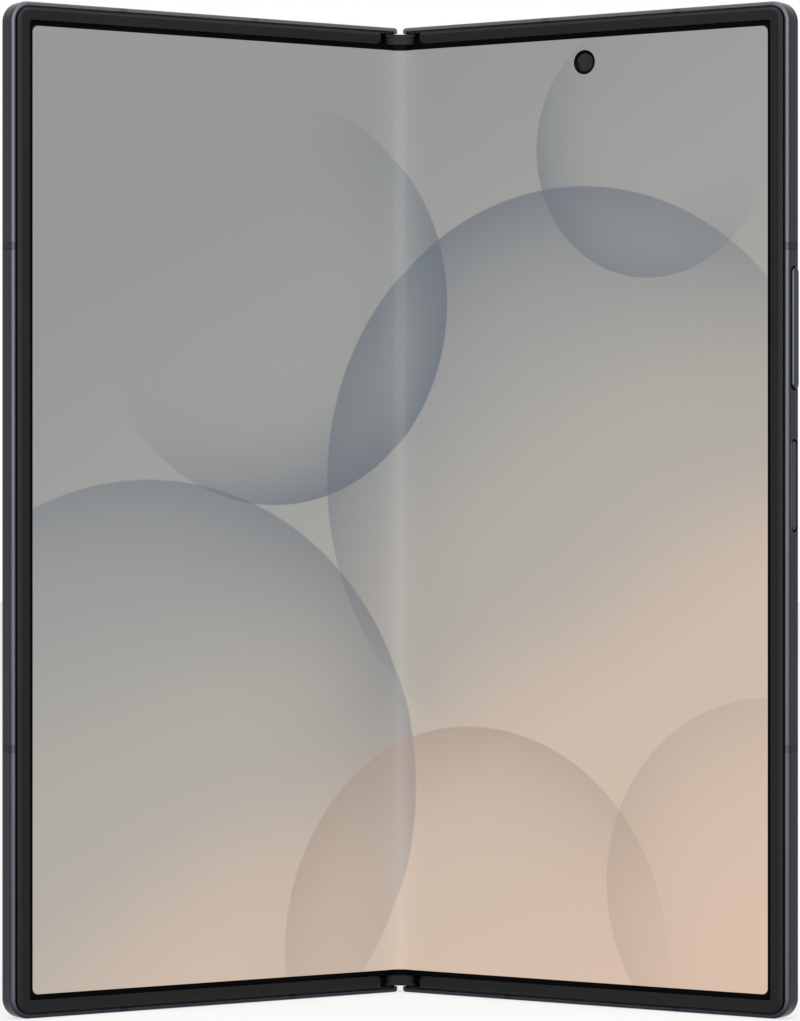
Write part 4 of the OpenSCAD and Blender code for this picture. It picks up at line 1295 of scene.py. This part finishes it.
# Card tray
cardTray = {
    "head": 1.2,  # what fills the slot
    "headSoft": 0.06,
    "half": 5.6,
    "thick": 0.7,
    "foot": 137,
    "footRound": 1.2,
    "windowHalf": 4.45,
    "windowZ": (139, 151.4),
    "cutCorner": 1.0,  # of the window and the card
}
simCard = {
    "half": 4.4,
    "thick": 0.66,
    "z": (139.05, 151.35),
    "corner": 0.4,
    "soft": 0.03,
    "padOut": 2.0,  # from the middle of the card to the middle of a pad
    "padHalf": 1.7,
    "padY": (0.3, 0.345),
    "padZ": (141.2, 143.2),
    "padPitch": 2.4,
    "padSoft": 0.01,
}


def makeCardTray():
    x, y, high = cardSlot["x"], cardSlot["y"], phone["height"]
    head, half, thick, foot = cardTray["head"], cardTray["half"], cardTray["thick"], cardTray["foot"]
    piece = pill("cardTray", (x, y, high - head / 2), cardSlot["wide"], cardSlot["thick"], "X", head)
    soften(piece, cardTray["headSoft"], 2, 50)
    tray = startBlock("tray", (x - half, x + half), (y - thick / 2, y + thick / 2), (foot, high - head + 0.1))
    with editing(tray):
        roundEdges(lambda at, way: abs(way.y) > 0.99 and at.z < foot + 1, cardTray["footRound"], 6)
    half = cardTray["windowHalf"]
    window = startBlock("window", (x - half, x + half), (y - 1, y + 1), cardTray["windowZ"])
    low = cardTray["windowZ"][0] + 1
    with editing(window):
        roundEdges(lambda at, way: abs(way.y) > 0.99 and at.z < low and at.x > x, cardTray["cutCorner"], 1)
    carve(tray, window)
    weld(piece, tray)
    mirrored(piece)
    shade(piece)
    place(piece, "left")
    return dress(piece, "sim_carrier", "rail_metal", ["sim_tray"], finishes["railMetal"])


def makeCard():
    x, y = cardSlot["x"], cardSlot["y"]
    half, thick, low = simCard["half"], simCard["thick"], simCard["z"][0]
    materials = finishes["cardPlastic"], finishes["contactGold"]
    piece = startBlock("card", (x - half, x + half), (y - thick / 2, y + thick / 2), simCard["z"])
    with editing(piece):
        roundEdges(lambda at, way: abs(way.y) > 0.99 and at.z < low + 1 and at.x > x, cardTray["cutCorner"], 1)
        roundEdges(lambda at, way: abs(way.y) > 0.99 and not (at.z < low + 2 and at.x > x), simCard["corner"], 4)
    soften(piece, simCard["soft"], 1)
    tint(piece, 0, *materials)
    parts = [piece]
    for row in range(3):
        up = row * simCard["padPitch"]
        for column in (-1, 1):
            padX = x + column * simCard["padOut"]
            pad = startBlock("pad", (padX - simCard["padHalf"], padX + simCard["padHalf"]),
                             [y + depth for depth in simCard["padY"]], [height + up for height in simCard["padZ"]])
            soften(pad, simCard["padSoft"], 1)
            tint(pad, 1, *materials)
            parts.append(pad)
    card = mirrored(joined("card", parts))
    place(card, "left")
    return dress(card, "sim_carrier", "card_gold", ["sim_card"], *materials)


makeCardTray()
makeCard()
print("card tray done")


# Charging socket
socketTongue = {
    "half": 3.3,
    "thick": 0.6,
    "tip": 1,
    "tipRound": 0.3,
    "soft": 0.05,
    "contacts": 12,  # on each face
    "pitch": 0.5,
    "contactHalf": 0.13,
    "contactY": (0.28, 0.35),  # from the tongue's middle
    "contactZ": (1.5, 5.5),
}


def makeSocket():
    low, high = usb["lip"], usb["deep"]
    middle = (low + high) / 2
    outer = (usb["wide"] + 2 * usb["wall"], usb["open"] + 2 * usb["wall"])
    shell = pill("socketShell", (usb["x"], usb["y"], middle), *outer, "X", high - low)
    room = (usb["x"], usb["y"], middle - 0.6)
    carve(shell, pill("socketRoom", room, usb["wide"], usb["open"], "X", high - low + 0.8))
    soften(shell, usb["soft"], 2, 50)
    place(shell, "right")
    dress(shell, "right_half", "steel_parts", ["usb_shell"], finishes["steelParts"])
    x, y = usb["x"], usb["y"]
    half, thick, tip = socketTongue["half"], socketTongue["thick"], socketTongue["tip"]
    materials = finishes["blackParts"], finishes["contactGold"]
    tongue = startBlock("socketTongue", (x - half, x + half), (y - thick / 2, y + thick / 2), (tip, high - 0.2))
    with editing(tongue):
        roundEdges(lambda at, way: abs(way.y) > 0.9 and at.z < tip + 0.1, socketTongue["tipRound"], 3)
    soften(tongue, socketTongue["soft"], 1)
    tint(tongue, 0, *materials)
    parts = [tongue]
    half, count = socketTongue["contactHalf"], socketTongue["contacts"]
    for face in (-1, 1):
        depths = sorted(y + face * depth for depth in socketTongue["contactY"])
        for i in range(count):
            at = x + (i - (count - 1) / 2) * socketTongue["pitch"]
            contact = startBlock("contact", (at - half, at + half), depths, socketTongue["contactZ"])
            tint(contact, 1, *materials)
            parts.append(contact)
    tongue = place(joined("socketTongue", parts), "right")
    dress(tongue, "right_half", "black_parts", ["usb_tongue"], *materials)


makeSocket()
print("socket done")


# Outer glasses
glass = {
    "x": (5.5, 70.25),
    "z": (1.35, 157.05),
    "y": (3.35, 3.95),
    "corner": 1.9,
    "soft": 0.28,
}
island = {
    "x": (54.4, 69.0),
    "z": (107.5, 154.0),
    "y": (3.35, 6.25),
    "corner": 6.9,
    "lensX": 61.7,
    "lensZ": (146.7, 131.3, 115.9),
    "soft": 0.35,
    "border": ((0.35, 0.0), (0.12, -0.06)),  # width and step down round the top face
    "bore": 5.5,
    "ringY": (5.35, 6.75),
    "ringSoft": 0.16,
    "glassRadius": 4.6,
    "glassY": (5.95, 6.55),
    "glassSoft": 0.08,
}
flash = {
    "x": 49.6,
    "z": 131.1,
    "radius": 2.4,
    "y": (2.9, 3.93),
    "steps": ((0.10, 0.0), (0.12, -0.08), (0.35, -0.02), (0.04, 0.05), (0.30, 0.0),
              (0.04, -0.05), (0.35, 0.0), (0.04, 0.05), (0.35, 0.02), (0.3, 0.01)),
}
coverEye = {
    "x": 37.5,
    "z": 150.6,
    "radius": 1.7,
    "wall": ((0.14, 0.02), (0.26, 0.14), (0.12, 0.10), (0.22, -0.10), (0.22, -0.06), (0.22, -0.03), (0.18, -0.01)),
    "housing": ((34.3, 40.7), (1.2, 2.1), (147.4, 153.8)),
}


def islandOutline(name, grow, y):
    x0, x1 = island["x"]
    z0, z1 = island["z"]
    piece = startBlock(name, (x0 - grow, x1 + grow), y, (z0 - grow, z1 + grow))
    with editing(piece):
        roundEdges(lambda at, way: abs(way.y) > 0.99, island["corner"] + grow, 20)
    return piece


def makeGlass(side):
    piece = startBlock(side + "OuterGlass", glass["x"], glass["y"], glass["z"])
    with editing(piece):
        roundEdges(lambda at, way: abs(way.y) > 0.99, glass["corner"], 10)
        roundEdges(lambda at, way: at.y > 3.94 and abs(way.y) < 0.1, glass["soft"], 4)
    if side == "right":
        carve(piece, islandOutline("islandHole", 0.05, (3, 5)),
              startDisc("flashHole", flash["x"], flash["z"], flash["radius"] + 0.03, (3, 5)))
    else:
        hole = coverEye["radius"] + eye["gap"]
        carve(piece, startDisc("coverEyeHole", coverEye["x"], coverEye["z"], hole, (3, 5), 72))
    mirrorFor(piece, side)
    shade(piece, 30)
    place(piece, side)
    if side == "right":
        return dress(piece, "right_half", "rear_glass", ["back_glass"], finishes["backGlass"])
    return dress(piece, "left_half", "cover_screen", ["cover_glass"], finishes["coverGlass"])


makeBoth("outer glass", makeGlass)
outerEye = makeEye("coverCameraEye", coverEye, (2.0, 3.93), 1)
housing = startBlock("eyeHousing", *coverEye["housing"])
tint(housing, 0, finishes["eyeGloss"])
outerEye = joined("coverCameraEye", [outerEye, housing])
mirrored(outerEye)
shade(outerEye, 30)
place(outerEye, "left")
dress(outerEye, "left_half", "black_parts", ["cover_camera"], finishes["eyeGloss"], lensFinish)


# Rear cameras
def makeIsland():
    piece = islandOutline("cameraIsland", 0, island["y"])
    with editing(piece):
        roundEdges(lambda at, way: at.y > island["y"][1] - 0.01 and abs(way.y) < 0.1, island["soft"], 4)
        chooseFaces(lambda at, way: way.y > 0.99)
        for width, step in island["border"]:
            insetChosen(width, step)
    for z in island["lensZ"]:
        carve(piece, startDisc("lensBore", island["lensX"], z, island["bore"], (2, 8), 96))
    shade(piece, 30)
    place(piece, "right")
    return dress(piece, "right_half", "rail_metal", ["camera_island"], finishes["islandMetal"])


def makeLensRing():
    piece = startDisc("lensRings", island["lensX"], island["lensZ"][0], island["bore"], island["ringY"], 96)
    with editing(piece):
        chooseFaces(lambda at, way: abs(way.y) > 0.99)
        insetChosen(island["bore"] - island["glassRadius"] - 0.02)
        bpy.ops.mesh.bridge_edge_loops()
    return soften(piece, island["ringSoft"], 4, 40)


def makeLensGlass():
    x, z = island["lensX"], island["lensZ"][0]
    piece = startDisc("lensWindows", x, z, island["glassRadius"], island["glassY"], 96)
    return soften(piece, island["glassSoft"], 3, 40)


lensModule = {
    "radius": 4.58,
    "y": (3.1, 5.9),
    "wall": ((0.35, 0.0), (0.25, -0.25), (0.55, 0.0), (0.12, -0.22), (0.70, -0.05), (0.10, -0.25), (0.22, 0.0)),
    "dome": ((0.45, 0.22), (0.5, 0.15), (0.5, 0.09), (0.45, 0.03)),
    "sensorHalf": 5,
    "sensorY": (1.2, 3.2),
    "sensorSoft": 0.3,
}


def makeLensModule():
    x, z = island["lensX"], island["lensZ"][0]
    radius, wall, half = lensModule["radius"], lensModule["wall"], lensModule["sensorHalf"]
    barrel = startDisc("cameraModules", x, z, radius, lensModule["y"], 96)
    with editing(barrel):
        chooseFaces(lambda at, way: way.y > 0.99)
        for width, step in (*wall, *lensModule["dome"]):
            insetChosen(width, step)
    rim = radius - sum(width for width, _ in wall)
    tint(barrel, 0, finishes["barrelBlack"], lensFinish)
    for face in barrel.data.polygons:
        away = math.hypot(face.center.x - x, face.center.z - z)
        face.material_index = 1 if away < rim and face.normal.y > 0.2 else 0
    sensor = startBlock("sensor", (x - half, x + half), lensModule["sensorY"], (z - half, z + half))
    soften(sensor, lensModule["sensorSoft"])
    tint(sensor, 0, finishes["barrelBlack"], lensFinish)
    return shade(joined("cameraModules", [barrel, sensor]), 30)


def threeOf(piece):  # one for each lens, down the island
    pieces = [piece]
    for z in island["lensZ"][1:]:
        copy = twin(piece, "lensCopy")
        copy.location.z = z - island["lensZ"][0]
        onlySelect(copy)
        settle()
        pieces.append(copy)
    return joined(piece.name, pieces)


makeIsland()
rings = place(threeOf(makeLensRing()), "right")
dress(rings, "right_half", "rail_metal", ["lens_rings"], finishes["ringMetal"])
windows = place(threeOf(makeLensGlass()), "right")
dress(windows, "right_half", "lens_glass", ["lens_glasses"], glassFinish)
modules = place(threeOf(makeLensModule()), "right")
dress(modules, "right_half", "black_parts", ["camera_modules"], finishes["barrelBlack"], lensFinish)
print("rear cameras done")


def makeFlash():
    piece = startDisc("cameraFlash", flash["x"], flash["z"], flash["radius"], flash["y"], 72)
    with editing(piece):
        chooseFaces(lambda at, way: way.y > 0.99)
        for width, step in flash["steps"]:
            insetChosen(width, step)
    shade(piece, 25)
    place(piece, "right")
    return dress(piece, "right_half", "flash_window", ["camera_flash"], finishes["flashWindow"])


makeFlash()
print("flash done")


# Inner parts keep their solids and take a finish by slot
slotFinish = {
    "steel_parts": "steelParts",
    "gear_brass": "gearBrass",
    "copper": "copperFilm",
    "battery_film": "batteryFilm",
    "board": "solderMask",
    "black_parts": "blackParts",
    "card_gold": "cardPlastic",
    "rail_metal": "railMetal",
    "antenna_plastic": "antennaPlastic",
    "bezel_plastic": "bezelPlastic",
    "screen": "coverGlass",
    "rear_glass": "backGlass",
    "cover_screen": "coverGlass",
    "lens_glass": "coverGlass",
    "flash_window": "flashWindow",
}
for subpart in frame["record"]["subparts"]:
    solid = frame["nodes"][subpart["node"]]
    solid.data.materials.clear()
    solid.data.materials.append(finishes[slotFinish[subpart["material_slot"]]])


# Floor, light and camera
studio = {
    "floorSize": 6.0,
    "floorColour": (0.86, 0.86, 0.86),
    "floorGrain": 400.0,
    "floorTone": 3.0,
    "floorWhite": 0.7,  # how much of the floor's white the camera sees without its shading
    "ambient": 0.42,
    "frontLamp": {"distance": 1.5, "wide": 2.0, "high": 1.5, "watts": 20.7},
    "topLamp": {"height": 1.6, "forward": 0.2, "size": 1.6, "watts": 18},
    "camera": (-0.000026, -0.6958, 0.079125),  # from the fold line
    "lens": 149.37,
}


def backdropRays(nodes, links):  # 1 for the rays that see the background: direct, reflected or through glass
    seen = nodes.new("ShaderNodeLightPath")
    view = mathNode(nodes, links, "MAXIMUM", seen.outputs["Is Camera Ray"], seen.outputs["Is Glossy Ray"])
    return mathNode(nodes, links, "MAXIMUM", view, seen.outputs["Is Transmission Ray"])


def makeFloor():
    bpy.ops.object.select_all(action="DESELECT")
    bpy.ops.mesh.primitive_plane_add(size=studio["floorSize"], location=(0, 0, -0.00002))
    floor = named("floor")
    material, nodes, links, shader = startMaterial("paleFloor")
    grain = placeGroup(nodes, surfaceGrain, Grain_Scale=studio["floorGrain"], Tone_Scale=studio["floorTone"])
    base = studio["floorColour"]
    colour = mixNode(nodes, links, grain.outputs["Tone"], tuple(c * 0.99 for c in base), base)
    links.new(colour, shader.inputs["Base Color"])
    shader.inputs["Roughness"].default_value = 0.9
    shader.inputs["Specular IOR Level"].default_value = 0.1
    view = backdropRays(nodes, links)
    glow = nodes.new("ShaderNodeEmission")
    share = mathNode(nodes, links, "MULTIPLY", view, studio["floorWhite"])
    blend = nodes.new("ShaderNodeMixShader")
    links.new(share, blend.inputs["Fac"])
    links.new(shader.outputs["BSDF"], blend.inputs[1])
    links.new(glow.outputs["Emission"], blend.inputs[2])
    links.new(blend.outputs["Shader"], nodes["Material Output"].inputs["Surface"])
    floor.data.materials.append(material)


def makeWorld():
    world = bpy.data.worlds.new("studioWhite")
    bpy.context.scene.world = world
    world.use_nodes = True
    nodes, links = world.node_tree.nodes, world.node_tree.links
    background = nodes["Background"]
    background.inputs["Color"].default_value = (1, 1, 1, 1)
    view = backdropRays(nodes, links)
    strength = mathNode(nodes, links, "MULTIPLY_ADD", view, 1 - studio["ambient"], studio["ambient"])
    links.new(strength, background.inputs["Strength"])


def makeLamp(name, location, target, wide, high, watts):
    light = bpy.data.lights.new(name, "AREA")
    light.shape = "RECTANGLE"
    light.size, light.size_y = wide, high
    light.energy = watts
    lamp = bpy.data.objects.new(name, light)
    bpy.context.scene.collection.objects.link(lamp)
    lamp.location = location
    lamp.rotation_euler = (Vector(target) - Vector(location)).to_track_quat("-Z", "Y").to_euler()


def makeStudio():
    makeFloor()
    makeWorld()
    front = studio["frontLamp"]
    spot = Vector((0, -front["distance"], front["high"] / 2))
    makeLamp("frontSoftbox", spot, spot + Vector((0, 1, 0)), front["wide"], front["high"], front["watts"])
    top = studio["topLamp"]
    makeLamp("topSoftbox", (0, -top["forward"], top["height"]), (0, 0, 0), top["size"], top["size"], top["watts"])
    lens = bpy.data.cameras.new("studioCamera")
    lens.lens = studio["lens"]
    lens.sensor_width = 36
    lens.clip_start, lens.clip_end = 0.01, 20
    camera = bpy.data.objects.new("studioCamera", lens)
    bpy.context.scene.collection.objects.link(camera)
    camera.location = Vector(studio["camera"]) + Vector((0, foldY * mm, 0))
    camera.rotation_euler = (math.pi / 2, 0, 0)
    bpy.context.scene.camera = camera
    bpy.context.scene.view_settings.view_transform = "Standard"


makeStudio()
print("studio done")
